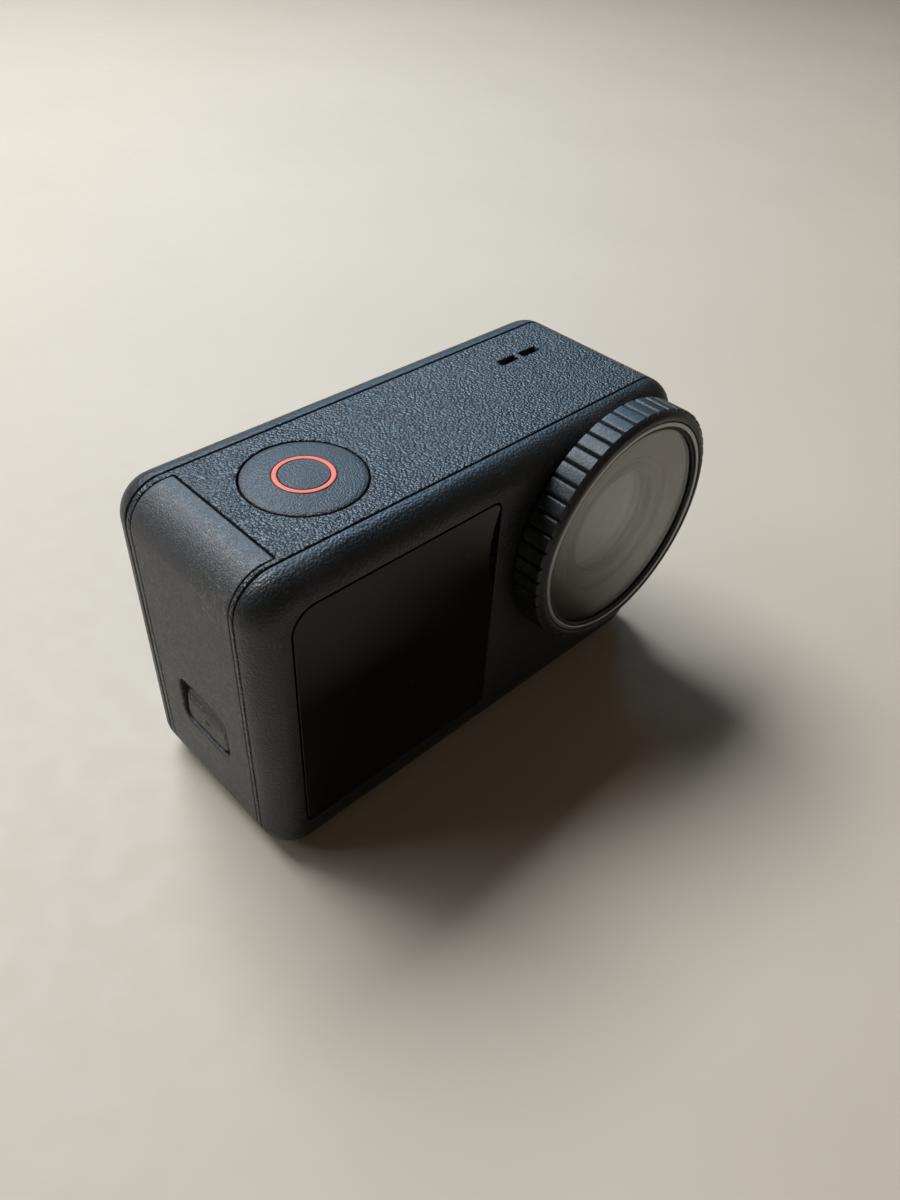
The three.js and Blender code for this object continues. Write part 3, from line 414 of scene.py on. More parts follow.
# ---- finishes ----

class Value:
    """A number in a material, with arithmetic that adds Math nodes."""

    def __init__(self, finish, socket):
        self.finish, self.socket = finish, socket

    def math(self, operation, a, b):
        return self.finish.node("ShaderNodeMath", {"operation": operation}, {0: a, 1: b})

    def __add__(self, other):
        return self.math("ADD", self, other)

    def __sub__(self, other):
        return self.math("SUBTRACT", self, other)

    def __mul__(self, other):
        return self.math("MULTIPLY", self, other)

    __radd__ = __add__
    __rmul__ = __mul__


class Finish:
    """A material being made: its shader, and its nodes in the piece's own coordinates, in metres."""

    def __init__(self, name, **constants):
        self.material = bpy.data.materials.new(name)
        self.material.use_nodes = True
        self.tree = self.material.node_tree
        self.shader = self.tree.nodes["Principled BSDF"]
        self.here = self.node("ShaderNodeTexCoord", output="Object")
        for key, value in constants.items():
            self.set(key.replace("_", " "), value)

    def connect(self, socket, value):
        if isinstance(value, Value):
            self.tree.links.new(value.socket, socket)
        else:
            socket.default_value = value

    def node(self, kind, settings=None, inputs=None, output=0):
        """Any node: its settings are set first, then its sockets' values or links. Returns an output."""
        made = self.tree.nodes.new(kind)
        for key, value in (settings or {}).items():
            setattr(made, key, value)
        for key, value in (inputs or {}).items():
            self.connect(made.inputs[key], value)
        return Value(self, made.outputs[output])

    def set(self, name, value):
        self.connect(self.shader.inputs[name], value)

    def stretched(self, x=1.0, y=1.0, z=1.0):
        """The piece's coordinates, squeezed so that a pattern runs long on an axis whose number is small."""
        return self.node("ShaderNodeMapping", {"vector_type": "POINT"},
                         {"Vector": self.here, "Scale": (x, y, z)})

    def noise(self, grain, detail=2.0, rough=0.5, where=None):
        """Cloudy noise, from about 0.3 to 0.7, whose cells are about grain millimetres across."""
        return self.node("ShaderNodeTexNoise", None,
                         {"Vector": where or self.here, "Scale": 1 / (grain * MM), "Detail": detail,
                          "Roughness": rough})

    def pebbles(self, grain):
        """Rounded cells: 0 in the middle of a cell and larger towards its edges."""
        return self.node("ShaderNodeTexVoronoi", {"feature": "SMOOTH_F1"},
                         {"Vector": self.here, "Scale": 1 / (grain * MM), "Smoothness": 0.35},
                         output="Distance")

    def ramp(self, value, low, high, start=0.0, end=1.0):
        """Carries a number from the range low to high into start to end, and holds it there."""
        return self.node("ShaderNodeMapRange", {"clamp": True, "interpolation_type": "SMOOTHSTEP"},
                         {"Value": value, "From Min": low, "From Max": high, "To Min": start, "To Max": end})

    def mix(self, factor, a, b):
        """Two colours mixed."""
        full = [c if isinstance(c, Value) else (*c, 1.0) for c in (a, b)]
        return self.node("ShaderNodeMix", {"data_type": "RGBA"}, {0: factor, 6: full[0], 7: full[1]},
                         output=2)

    def bump(self, height, depth):
        """Raises the surface where height is larger, by up to depth millimetres."""
        self.set("Normal", self.node("ShaderNodeBump", None, {"Height": height, "Distance": depth * MM,
                                                             "Strength": 1.0}))


def moulded(name, colour, rough, grain, depth, dust=0.0, dust_colour=(0.15, 0.142, 0.128), **constants):
    """Moulded plastic: a pebbled grain, cloudy gloss, slightly uneven colour, specks of dust and rubbed
    patches that are paler."""
    made = Finish(name, **constants)
    cloud = made.noise(9.0, 3.0)
    fine = made.noise(grain * 0.7, 2.0)
    pebble = made.pebbles(grain)
    dark = tuple(0.82 * c for c in colour)
    light = tuple(1.2 * c for c in colour)
    shade = made.mix(made.ramp(cloud * 0.6 + fine * 0.4, 0.35, 0.65), dark, light)
    specks = made.ramp(made.noise(0.24, 1.0), 0.62, 0.7) * made.ramp(made.noise(4.0, 3.0), 0.4, 0.6)
    haze = made.ramp(made.noise(2.6, 6.0, 0.75), 0.46, 0.8)
    mottle = made.ramp(made.noise(0.55, 4.0, 0.7), 0.5, 0.72)
    worn = made.mix((specks * 0.7 + haze * 0.18 + mottle * 0.16) * dust, shade, dust_colour)
    made.set("Base Color", worn)
    made.set("Roughness", made.ramp(cloud * 0.5 + fine * 0.5, 0.35, 0.65, rough - 0.07, rough + 0.08))
    made.bump(fine * 0.5 - pebble, depth)
    return made.material


def worn_door():
    """The doors: fine matt moulding, mottled at two sizes, with pale specks, rubbed streaks and dust."""
    made = Finish("worn matt door")
    cloud, fine = made.noise(6.0, 3.0), made.noise(0.2, 2.0, 0.6)
    mottle = made.noise(0.8, 5.0, 0.75)
    shade = made.mix(made.ramp(mottle * 0.55 + fine * 0.45, 0.4, 0.6), (0.0225, 0.0235, 0.024),
                     (0.058, 0.058, 0.056))
    dusty = made.ramp(cloud, 0.42, 0.6, 0.2, 1.0)
    specks = made.ramp(made.noise(0.3, 1.0), 0.62, 0.68) * dusty
    patches = made.ramp(made.noise(1.1, 6.0, 0.8), 0.53, 0.66) * dusty
    streaks = made.ramp(made.noise(0.7, 5.0, 0.7, made.stretched(1.0, 0.3, 1.0)), 0.55, 0.68)
    made.set("Base Color", made.mix(specks * 0.55 + streaks * dusty * 0.3 + patches * 0.22, shade,
                                    (0.2, 0.188, 0.168)))
    made.set("Roughness", made.ramp(mottle * 0.5 + fine * 0.5, 0.4, 0.6, 0.37, 0.62))
    made.bump(fine + mottle * 0.6 - made.pebbles(0.22) * 0.5, 0.06)
    return made.material


def metal(name, colour, rough, brushed=None):
    """Bare metal: fine brushing along one axis or none, smudges and slightly uneven tint."""
    made = Finish(name, Metallic=1.0)
    where = made.stretched(*brushed) if brushed else made.here
    lines = made.noise(0.12, 2.0, 0.6, where)
    smudge = made.noise(4.0, 3.0)
    made.set("Base Color", made.mix(smudge, tuple(0.85 * c for c in colour), colour))
    made.set("Roughness", made.ramp(lines * 0.6 + smudge * 0.4, 0.3, 0.7, rough - 0.08, rough + 0.1))
    made.bump(lines, 0.01)
    return made.material


def gloss(name, colour, rough=0.04, smears=0.08, **constants):
    """A polished surface with faint smears and a few specks of dust."""
    made = Finish(name, **constants)
    smear = made.noise(7.0, 4.0, 0.6, made.stretched(1.0, 1.0, 0.35))
    specks = made.ramp(made.noise(0.4, 1.0), 0.77, 0.8)
    made.set("Base Color", made.mix(specks * 0.5, colour, (0.1, 0.1, 0.1)))
    made.set("Roughness", made.ramp(smear, 0.4, 0.75, rough, rough + smears) + specks * 0.3)
    return made.material


def clear(name, tint, rough, **constants):
    """Clear glass with a faint tint, faint smears and specks."""
    made = Finish(name, Transmission_Weight=1.0, **constants)
    smear = made.noise(8.0, 4.0, 0.6)
    made.set("Base Color", made.mix(made.ramp(smear, 0.3, 0.7), tint, tuple(0.93 * c for c in tint)))
    made.set("Roughness", made.ramp(smear, 0.4, 0.8, rough, rough + 0.06))
    return made.material


def circuit():
    """A green board with copper tracks under its lacquer and rows of small darker parts."""
    made = Finish("circuit board", Coat_Weight=0.5, Coat_Roughness=0.15)
    tracks = made.node("ShaderNodeTexBrick", {"offset": 0.5},
                       {"Vector": made.stretched(1, 1, 1), "Scale": 1 / (3.0 * MM), "Mortar Size": 0.02},
                       output="Fac")
    spots = made.ramp(made.pebbles(1.6), 0.2, 0.28)
    green = made.mix(made.noise(5.0), (0.008, 0.06, 0.03), (0.014, 0.09, 0.045))
    made.set("Base Color", made.mix(spots, made.mix(tracks * 0.6, green, (0.05, 0.14, 0.06)), green))
    made.set("Roughness", made.ramp(made.noise(0.8), 0.3, 0.7, 0.3, 0.5))
    made.bump(tracks + spots, 0.03)
    return made.material


def orange_ring():
    """A moulded orange ring: slightly darker in its cloudy patches, with a fine satin grain."""
    made = Finish("orange ring", Specular_IOR_Level=0.4)
    cloud = made.noise(1.6, 3.0)
    made.set("Base Color", made.mix(cloud, (0.74, 0.115, 0.045), (0.9, 0.17, 0.075)))
    made.set("Roughness", made.ramp(made.noise(0.3), 0.3, 0.7, 0.38, 0.52))
    made.bump(made.noise(0.12), 0.012)
    return made.material


finishes = {
    "shell": moulded("satin shell", (0.0085, 0.0098, 0.011), 0.43, 0.32, 0.055, dust=0.3),
    "frame": moulded("grained frame", (0.020, 0.0235, 0.027), 0.36, 0.34, 0.17, dust=0.5),
    "door": worn_door(),
    "button": moulded("satin button", (0.016, 0.0185, 0.021), 0.52, 0.22, 0.06, dust=0.75),
    "orange": orange_ring(),
    "panel_glass": gloss("black glass", (0.0012, 0.0012, 0.0013), 0.03, 0.06, Specular_IOR_Level=0.28),
    "display": gloss("dark display", (0.004, 0.005, 0.006), 0.15, 0.1),
    "cover_metal": moulded("black anodised ring", (0.008, 0.0098, 0.0115), 0.47, 0.22, 0.02, dust=0.65,
                           Metallic=0.2),
    "bezel": metal("grey bezel", (0.34, 0.34, 0.34), 0.38),
    "cover_glass": clear("lens cover glass", (0.86, 0.85, 0.82), 0.02, IOR=1.52),
    "lens_glass": clear("lens glass", (0.7, 0.78, 0.85), 0.01, IOR=1.6),
    "barrel": moulded("black barrel", (0.010, 0.010, 0.011), 0.5, 0.2, 0.01),
    "rubber": moulded("rubber", (0.018, 0.018, 0.018), 0.75, 0.18, 0.02),
    "steel": metal("steel", (0.56, 0.56, 0.57), 0.3, (1.0, 0.06, 1.0)),
    "contact_metal": metal("gilt contact", (0.83, 0.6, 0.28), 0.25),
    "copper": metal("copper sheet", (0.72, 0.36, 0.2), 0.3, (0.08, 1.0, 1.0)),
    "circuit_board": circuit(),
    "sensor": gloss("image sensor", (0.02, 0.045, 0.05), 0.08, 0.05, Metallic=0.4),
    "inner_plastic": moulded("inner plastic", (0.014, 0.014, 0.015), 0.55, 0.25, 0.02),
    "battery": moulded("battery wrap", (0.03, 0.031, 0.033), 0.48, 0.3, 0.015),
}

for part in frame["record"]["subparts"]:
    mesh = frame["nodes"][part["node"]].data
    mesh.materials.clear()
    mesh.materials.append(finishes[part["material_slot"]])


# ---- shells ----

def tray(name, edge_y, face_y, fillet):
    """A shell: rings of the body's outline that follow a quarter-round edge from the face to the seam, a
    small rounded lip, and then the hollow behind the face."""
    toward = 1 if edge_y > face_y else -1
    depth = np.linspace(0, 1, 15) ** 1.5 * abs(edge_y - face_y - toward * soft_edge)
    levels = [(fillet - math.sqrt(max(fillet ** 2 - max(fillet - d, 0) ** 2, 0)), face_y + toward * d)
              for d in depth]
    levels += [(inset, edge_y - toward * d) for inset, d in soft(soft_edge)[::-1]]
    levels += [(rim_wall, edge_y), (rim_wall, face_y + toward * face_wall)]

    def outline(inset):
        return rounded(2 * side, top, corner_r, 0, mid_z, grow=-inset)

    return stack(outline, at_y, levels).object(name)


def glass_cutter(glass, display, face_y):
    """Cuts a glass's pocket, and the opening behind it that its display fills."""
    toward = 1 if face_y < 0 else -1
    w, _, h = size(glass)
    x, _, z = middle(glass)
    r = glass_corners[glass]
    pocket = stack(lambda inset: rounded(w, h, r, x, z, grow=seam - inset), at_y,
                   cutter_levels(face_y, face_y + toward, 0.12)).object("pocket")
    dw, _, dh = size(display)
    opening = stack(lambda inset: rounded(dw, dh, 1.0, x, z, grow=fit - inset), at_y,
                    [(0, face_y), (0, face_y + 4 * toward)]).object("opening")
    return pocket, opening


def front_shell():
    shell = tray("front_shell_skin", shell_front_edge, front, front_fillet)
    tip = front - boss_out
    boss = turned(eased([(1e-6, tip), (boss_r, tip), (boss_r, front + face_wall - 0.1),
                         (1e-6, front + face_wall - 0.1)], [0, 0.3, 0, 0]), at_y, lens_x, lens_z, 128,
                  closed=False)
    boolean(shell, "UNION", boss.object("boss"))
    for cutter in glass_cutter("front_glass", "front_display", front):
        boolean(shell, "DIFFERENCE", cutter)
    bore = stack(lambda inset: circle(bore_r - inset, lens_x, lens_z, 128), at_y,
                 cutter_levels(tip, 0.0, 0.25))
    boolean(shell, "DIFFERENCE", bore.object("bore"))
    place(shell, "camera_body", "shell", "front_shell")


def rear_shell():
    shell = tray("rear_shell_skin", shell_rear_edge, rear, rear_fillet)
    for cutter in glass_cutter("rear_glass", "rear_display", rear):
        boolean(shell, "DIFFERENCE", cutter)
    place(shell, "camera_body", "shell", "rear_shell")


def panel(name, node, face_y, back_y):
    """A flat glass with round corners and a fine polished edge."""
    w, _, h = size(node)
    x, _, z = middle(node)
    made = stack(lambda inset: rounded(w, h, glass_corners[node], x, z, grow=-inset), at_y,
                 plate_levels(face_y, back_y, 0.12))
    place(made.object(name), "camera_body", "panel_glass", node)


# ---- the middle frame ----

def mid_frame():
    """The band round the body: its flat drawing, with every opening, is bent at the outer and the inner
    depth, and walls join the two round each opening and along both seams."""
    gap = slide
    mode_w, mode_h = mode_size
    mic_slot, mic_step = (3.2, 1.15, 0.3), 2.0
    speaker_slot, speaker_step = (6.05, 0.8, 0.2), 1.8
    hook_slot, hook_x, hook_depth = (1.6, 8.0, 0.15), 14.4, 1.2
    door = (left_end + gap, door_low[1] - door_gap, door_high[1] + door_gap)
    lip_s = -door_high[0] - 1.5 * door_gap
    mic_x, mic_y, _ = middle("microphone_mesh")
    speaker_x, speaker_y, _ = middle("speaker")
    mode_y, mode_z = middle("mode_button")[1:]

    def pill(w, h, u, v):
        return lambda inset: rounded(w, h, min(w, h) / 2 - 0.005, u, v, grow=inset)

    def door_ring(inset):
        return patch((lip_s, door[1]), (door[0], door[2]), free_corner, -inset, -inset, -inset, -inset)

    def port_ring(inset):
        return on_right(rounded(port_high[1] - port_low[1], port_high[2] - port_low[2],
                                port_corners, 0.0, port_z, grow=gap + inset))

    through = [door_ring, lambda i: on_top(circle(shutter_r + gap + i, shutter_x, shutter_y, 128))]
    for step in (-mic_step, mic_step):
        through.append(lambda i, x=mic_x + step: on_top(rounded(*mic_slot, x, mic_y, grow=i)))
    through.append(lambda i: on_right(pill(mode_w + 2 * gap, mode_h + 2 * gap, mode_y, mode_z)(i)))
    for step in (-speaker_step, 0.0, speaker_step):
        through.append(lambda i, y=speaker_y + step: on_bottom(rounded(*speaker_slot, speaker_x, y, grow=i)))
    w, d, t = size("bottom_plate")
    pockets = [(lambda i: on_bottom(rounded(w, d, plate_corner, 0, 0, grow=seam + i)), t + 0.1)]
    for end in (-1, 1):
        pockets.append((lambda i, x=end * hook_x: on_bottom(rounded(*hook_slot, x, 0, grow=i)), hook_depth))

    low, high = joint - around, joint
    s = bend_steps(low, high)
    made = Solid()

    def edge_row(y, depth):
        return wrap(np.stack([s, np.full(len(s), y)], 1), depth)

    ease = soft(soft_edge)
    for y, inward in ((frame_front, 1), (frame_rear, -1)):
        rows = [edge_row(y + inward * inset, depth) for inset, depth in ease]
        made.loft(rows + [edge_row(y, band_wall)], closed=False)

    def sheet(depth, inset, holes):
        outline = patch((low, frame_front), (high, frame_rear), near=inset, far=inset)
        made.fill([outline] + holes, lambda p: wrap(p, depth),
                  bend_grid((low, frame_front + inset), (high, frame_rear - inset), holes))

    recess, pad = 2.0, 2.6
    outer = [ring(soft_edge) for ring in through + [port_ring]] + [ring(soft_edge) for ring, _ in pockets]
    sheet(0.0, soft_edge, outer)
    sheet(band_wall, 0.0, [ring(0.0) for ring in through] + [port_ring(1.0)])
    for ring in through:
        made.loft([wrap(ring(inset), depth) for inset, depth in ease] + [wrap(ring(0.0), band_wall)])
    for ring, depth in pockets:
        made.loft([wrap(ring(inset), d) for inset, d in ease] + [wrap(ring(0.0), depth)])
        made.fill([ring(0.0)], lambda p: wrap(p, depth))
    port_w, port_h = size("port_shell")[1:]
    socket = on_right(pill(port_w + 4 * fit, port_h + 4 * fit, 0, port_z)(0.0))
    made.loft([wrap(port_ring(inset), d) for inset, d in ease] + [wrap(port_ring(0.0), recess)])
    made.fill([port_ring(0.0), socket], lambda p: wrap(p, recess))
    made.loft([wrap(socket, recess), wrap(socket, pad)])
    made.fill([port_ring(1.0), socket], lambda p: wrap(p, pad))
    made.loft([wrap(port_ring(1.0), pad), wrap(port_ring(1.0), band_wall)])
    place(made.object("mid_frame_band"), "camera_body", "frame", "mid_frame")


def bulkhead():
    """The wall behind the battery door, with openings for the battery and the card: it follows the body's
    outline, cut away where the door sweeps."""
    thick, door_room, end_room = 1.4, 0.35, 0.02
    x0 = span("battery_bay")[0][0] - fit - thick
    x1 = x0 + thick
    reach = corner_r - door_wall - door_room
    x = np.linspace(x0, x1, 6)
    rise = np.sqrt(np.maximum(reach ** 2 - np.minimum(x + flat_x, 0) ** 2, 0))
    ring = np.concatenate([np.stack([x, top - corner_r + rise], 1), np.stack([x, corner_r - rise], 1)[::-1]])
    made = stack(lambda inset: ring, at_y,
                 [(0, frame_front + end_room), (0, frame_rear - end_room)]).object("bulkhead_wall")
    low, high = span("battery_pack")
    bay = stack(lambda inset: rounded(high[1] - low[1], high[2] - low[2], 1.5, (low[1] + high[1]) / 2,
                                      (low[2] + high[2]) / 2, grow=seam - inset), at_x,
                cutter_levels(x0, x1 + 1, 0.2))
    boolean(made, "DIFFERENCE", bay.object("bay opening"))
    low, high = span("memory_card")
    slot = stack(lambda inset: rounded(high[1] - low[1], high[2] - low[2], 0.1, (low[1] + high[1]) / 2,
                                       (low[2] + high[2]) / 2, grow=fit - inset), at_x,
                 cutter_levels(x0, x1 + 1, 0.15))
    boolean(made, "DIFFERENCE", slot.object("card opening"))
    place(made, "camera_body", "inner_plastic")


# ---- the battery door and its latch ----

def latch_ring(w, h, r, z):
    return lambda inset: rounded(w, h, r, latch_y, z, grow=inset)


def battery_door():
    """A bent sheet from the lip on top, down the side, to the bottom corner: its drawing is bent at the
    outer and the inner depth. The lip has a larger round than the other edges, so that it can turn."""
    low = (-door_high[0], door_low[1])
    high = (left_end, door_high[1])
    inner = door_wall

    def ring(front_i, lip_i):
        return patch(low, high, free_corner, lip_i, front_i, front_i, front_i)

    a = np.linspace(0, np.pi / 2, 8)
    levels = [(soft_edge * (1 - math.sin(t)), lip_r * (1 - math.sin(t)),
               soft_edge * (1 - math.cos(t)), lip_r * (1 - math.cos(t))) for t in a]

    def bent(side_i, lip_i, side_d, lip_d):
        """Near the lip the depth follows the larger circle, and elsewhere the small one."""
        points = ring(side_i, lip_i)
        near = np.clip(1 - (points[:, 0] - low[0] - lip_i) / (lip_r * 1.2), 0, 1) ** 2
        return wrap(points, side_d + (lip_d - side_d) * near)

    made = Solid()
    made.loft([bent(*level) for level in levels] + [wrap(ring(0, 0), inner)])
    wide, tall = latch_opening
    outline = latch_ring(wide + 2 * fit, tall + latch_travel + 2 * fit, 1.4 + fit, latch_z + latch_travel / 2)

    def recess(inset):
        return on_left(outline(inset))

    slot = on_left(latch_ring(latch_stem[0] + 2 * slide, latch_stem[1] + latch_travel + 2 * slide, 0.3,
                              latch_z + latch_travel / 2)(0.0))
    face = ring(soft_edge, lip_r)
    made.fill([face, recess(0.3)], lambda p: wrap(p, 0.0),
              bend_grid((low[0] + lip_r, low[1] + soft_edge), (high[0] - soft_edge, high[1] - soft_edge),
                        [recess(0.3)]))
    made.loft([wrap(recess(inset), depth) for inset, depth in soft(0.3)] + [wrap(recess(0.0), latch_room)])
    made.fill([recess(0.0), slot], lambda p: wrap(p, latch_room))
    made.loft([wrap(slot, latch_room), wrap(slot, inner)])
    made.fill([ring(0, 0), slot], lambda p: wrap(p, inner),
              bend_grid(low, high, [slot]))
    place(made.object("battery_door_panel"), "battery_cover", "door", "battery_door")


def smooth(t):
    """Rises from 0 to 1 along three t squared less two t cubed."""
    t = np.clip(t, 0, 1)
    return t * t * (3 - 2 * t)


def latch():
    """The latch: a face that falls away towards its top as a finger's catch, with a small raised arrow,
    then a stem through the door and a wider head behind it."""
    x0 = span("battery_door_latch")[0][0]
    x2 = span("battery_door_latch")[1][0]
    back, head = x0 + 0.7, x2 - 0.4
    edge, sunk, fall = 0.35, 0.16, 0.52
    face_z = latch_z - 0.05
    face = latch_ring(8.5, 5.0, 1.3, face_z)

    def height(points):
        """How far in the face lies: a slope over its upper third, less a low arrow."""
        slope = fall * smooth((points[:, 1] - latch_z - 0.35) / 1.9)
        u, v = points[:, 0] - latch_y, points[:, 1] - latch_z + 0.55
        arrow = smooth((0.5 - np.abs(u) * 0.75 - v) / 0.12) * smooth((v + 0.1) / 0.12)
        return slope - 0.16 * arrow

    made = Solid()
    rows = []
    for inset, depth in soft(edge):
        ring = face(-inset)
        rows.append(at_x(ring, x0 + sunk + depth * 0.9 + height(ring) * (1 - depth / 0.6)))
    rows.append(at_x(face(0.0), back))
    for w, h, x in ((*latch_stem, back), (*latch_stem, head), (*latch_head, head), (*latch_head, x2)):
        rows.append(at_x(latch_ring(w, h, 0.3, latch_z)(0.0), x))
    made.loft(rows).cap(rows[-1])
    u, v = np.meshgrid(np.arange(-4.3, 4.31, 0.14), np.arange(-2.3, 2.31, 0.12), indexing="ij")
    dots = np.stack([u.ravel() + latch_y, v.ravel() + face_z], 1)
    rim = face(-edge)
    dots = dots[inside(dots, rim.mean(0) + (rim - rim.mean(0)) * 0.98)]
    made.fill([rim], lambda p: at_x(p, x0 + sunk + height(p)), dots)
    place(made.object("latch_slider"), "door_latch", "door", "battery_door_latch")


# ---- the lens cover ----

def lens_cover_ring():
    """The knurled ring: a profile carried round the lens, whose outer radius rises and falls as 48 ribs
    with narrow grooves. A rib's height is a smooth bump of the angle, eased in behind the chamfer."""
    ribs, groove = 48, 0.45
    low_r = cover_r - groove
    share = np.array([0, 0.04, 0.09, 0.14, 0.2, 0.35, 0.5, 0.65, 0.8, 0.86, 0.91, 0.96])
    lift = np.array([0, 0.3, 0.78, 0.95, 1, 1.0, 1.0, 1.0, 1, 0.95, 0.78, 0.3])
    angle = ((np.arange(ribs)[:, None] + share[None]) * 2 * np.pi / ribs).ravel()
    rise = np.tile(lift, ribs)
    rim, lip_wide, chamfer, inner_edge = 1.5, 1.7, 0.4, 0.12
    pocket, thread = cover_r - rim, boss_r + 0.25
    shelf = cover_tip + 0.45 + 0.1 + 0.9 + 0.1  # the bezel's depth, a gap, the glass and a gap
    lip, seal_front = shelf + 0.5, cover_base - 0.9
    seal_r = boss_r + 0.3 + 1.2 + 0.2  # a gap, the seal's width and a gap
    plain = eased([(pocket + inner_edge, cover_tip), (low_r - chamfer, cover_tip),
                   (low_r, cover_tip + chamfer)], [0, 0.25, 0], 4)[:-1]
    outer = [(r, y, 0.0) for r, y in plain]
    for step in np.linspace(0, 1, 6):
        outer.append((low_r, cover_tip + chamfer * 0.75 + 0.22 * step, float(smooth(step))))
    for y in np.linspace(cover_tip + chamfer + 0.3, cover_base - soft_edge, 5):
        outer.append((low_r, y, 1.0))
    base_edge = cover_base - soft_edge
    for t in np.linspace(0.3, np.pi / 2, 4):
        outer.append((low_r - soft_edge * (1 - math.cos(t)), base_edge + soft_edge * math.sin(t), 1.0))
    bore = [(seal_r, cover_base), (seal_r, seal_front), (thread, seal_front), (thread, lip),
            (pocket - lip_wide, lip), (pocket - lip_wide, shelf), (pocket, shelf),
            (pocket, cover_tip + inner_edge),
            (pocket + 0.04, cover_tip + 0.04)]
    profile = np.array(outer + [(r, y, 0.0) for r, y in bore])
    profile = np.concatenate([profile, profile[:1]])
    r = profile[:, :1] + groove * profile[:, 2:] * rise[None]
    rows = np.stack([lens_x + r * np.cos(angle), np.broadcast_to(profile[:, 1:2], r.shape),
                     lens_z + r * np.sin(angle)], -1)
    place(Solid().loft(rows).object("lens_cover_knurl"), "lens_cover", "cover_metal", "lens_cover_ring")


def lens_ring(name, node, body, slot, width, radii):
    """A turned ring the size of a node's box, width across, with eased edges."""
    low, high = span(node)
    r = (high[0] - low[0]) / 2
    x, _, z = middle(node)
    profile = eased([(r - width, low[1]), (r, low[1]), (r, high[1]), (r - width, high[1])], radii, 3)
    place(turned(profile, at_y, x, z, 160).object(name), body, slot, node)


def disc(name, node, body, slot, crown, edge):
    """A round glass the size of a node's box, whose front bulges as a parabola by crown."""
    low, high = span(node)
    r = (high[0] - low[0]) / 2
    x, _, z = middle(node)
    share = np.linspace(0, 1 - edge / r, 10)
    face = [(max(r * t, 1e-6), low[1] + crown * t * t) for t in share]
    rim = low[1] + crown
    profile = face + [(r, rim + edge), (r, high[1] - edge), (r - edge, high[1]), (1e-6, high[1])]
    made = turned(profile, at_y, x, z, 128, closed=False)
    place(made.object(name), body, slot, node)


# ---- the shutter button ----

def shutter():
    """A shallow dome with a groove near its middle for the orange ring: height above the frame falls with
    the square of the radius. Below it is the flange that keeps the button in."""
    low = span("shutter_button")[0][2]
    flange_r, flange_top = shutter_r + 0.8, low + 0.6

    def crown(r):
        return top + shutter_crown * (1 - (r / shutter_r) ** 2)

    ring_r, ring_w = 3.52, 0.6
    ring_top = crown(ring_r)
    gap, groove_depth = 0.07, 0.5
    groove_low = ring_top - groove_depth
    rim = [(shutter_r - inset, crown(shutter_r) - depth) for inset, depth in soft(0.2, 5)[::-1]]
    out = [(r, crown(r)) for r in np.linspace(shutter_r - 0.25, ring_r + gap + 0.05, 9)]
    groove = [(ring_r + gap, crown(ring_r) - 0.05), (ring_r + gap, groove_low),
              (ring_r - ring_w - gap, groove_low),
              (ring_r - ring_w - gap, crown(ring_r - ring_w) - 0.05)]
    centre = [(max(r, 1e-6), crown(r)) for r in np.linspace(ring_r - ring_w - gap - 0.05, 0, 7)]
    profile = [(1e-6, low), (flange_r, low), (flange_r, flange_top), (shutter_r, flange_top)]
    profile += rim + out + groove + centre
    dome = turned(profile, at_z, shutter_x, shutter_y, 128, closed=False)
    place(dome.object("shutter_dome"), "shutter", "button", "shutter_button")
    inner, outer = ring_r - ring_w, ring_r
    ring_low, ring_high = span("shutter_ring")[0][2], span("shutter_ring")[1][2]
    profile = eased([(inner, ring_low), (outer, ring_low), (outer, ring_high), (inner, ring_high)],
                    [0, 0, 0.12, 0.12], 4)
    ring = turned(profile, at_z, shutter_x, shutter_y, 128)
    place(ring.object("shutter_inlay"), "shutter", "orange", "shutter_ring")


# ---- the right side and the bottom ----

def port_door():
    """The port's cover: a plate round at its free corners, whose hinge edge is a quarter circle round its
    pin, and with a nail notch cut in its free edge."""
    low, high = port_low, port_high
    w, h = high[1] - low[1], high[2] - low[2]
    back = side - 1.5
    a = np.linspace(0, np.pi / 2, 7)
    rows = []
    for t in a:
        inset, free = soft_edge * (1 - math.sin(t)), soft_edge * (1 - math.cos(t))
        wide, deep = hinge_r * (1 - math.sin(t)), hinge_r * (1 - math.cos(t))
        ring = rounded(w, h, port_corners, 0, port_z)
        unit = (ring - (-w / 2, port_z - h / 2)) / (w, h)
        ring = np.stack([-w / 2 + inset + unit[:, 0] * (w - inset - wide),
                         port_z - h / 2 + inset + unit[:, 1] * (h - 2 * inset)], 1)
        near = np.clip(1 - (w / 2 - wide - ring[:, 0]) / (hinge_r * 1.2), 0, 1) ** 2
        rows.append(at_x(ring, side - free - (deep - free) * near))
    face = np.stack([rows[0][:, 1], rows[0][:, 2]], 1)
    rows.append(at_x(rounded(w, h, port_corners, 0, port_z), back))
    made = Solid().loft(rows).cap(rows[-1])
    made.fill([face], lambda p: at_x(p, side))
    door = made.object("port_cover_panel")
    nail_r, nail_low, nail_high = 1.5, port_z - 2.4, port_z + 2.4
    profile = eased([(1e-6, nail_low), (nail_r, nail_low), (nail_r, nail_high), (1e-6, nail_high)],
                    [0, 0.5, 0.5, 0], 5)
    nail = turned(profile, at_z, side + 0.9, -w / 2 + 0.6, 48, closed=False)
    boolean(door, "DIFFERENCE", nail.object("nail"))
    place(door, "port_cover", "door", "port_door")


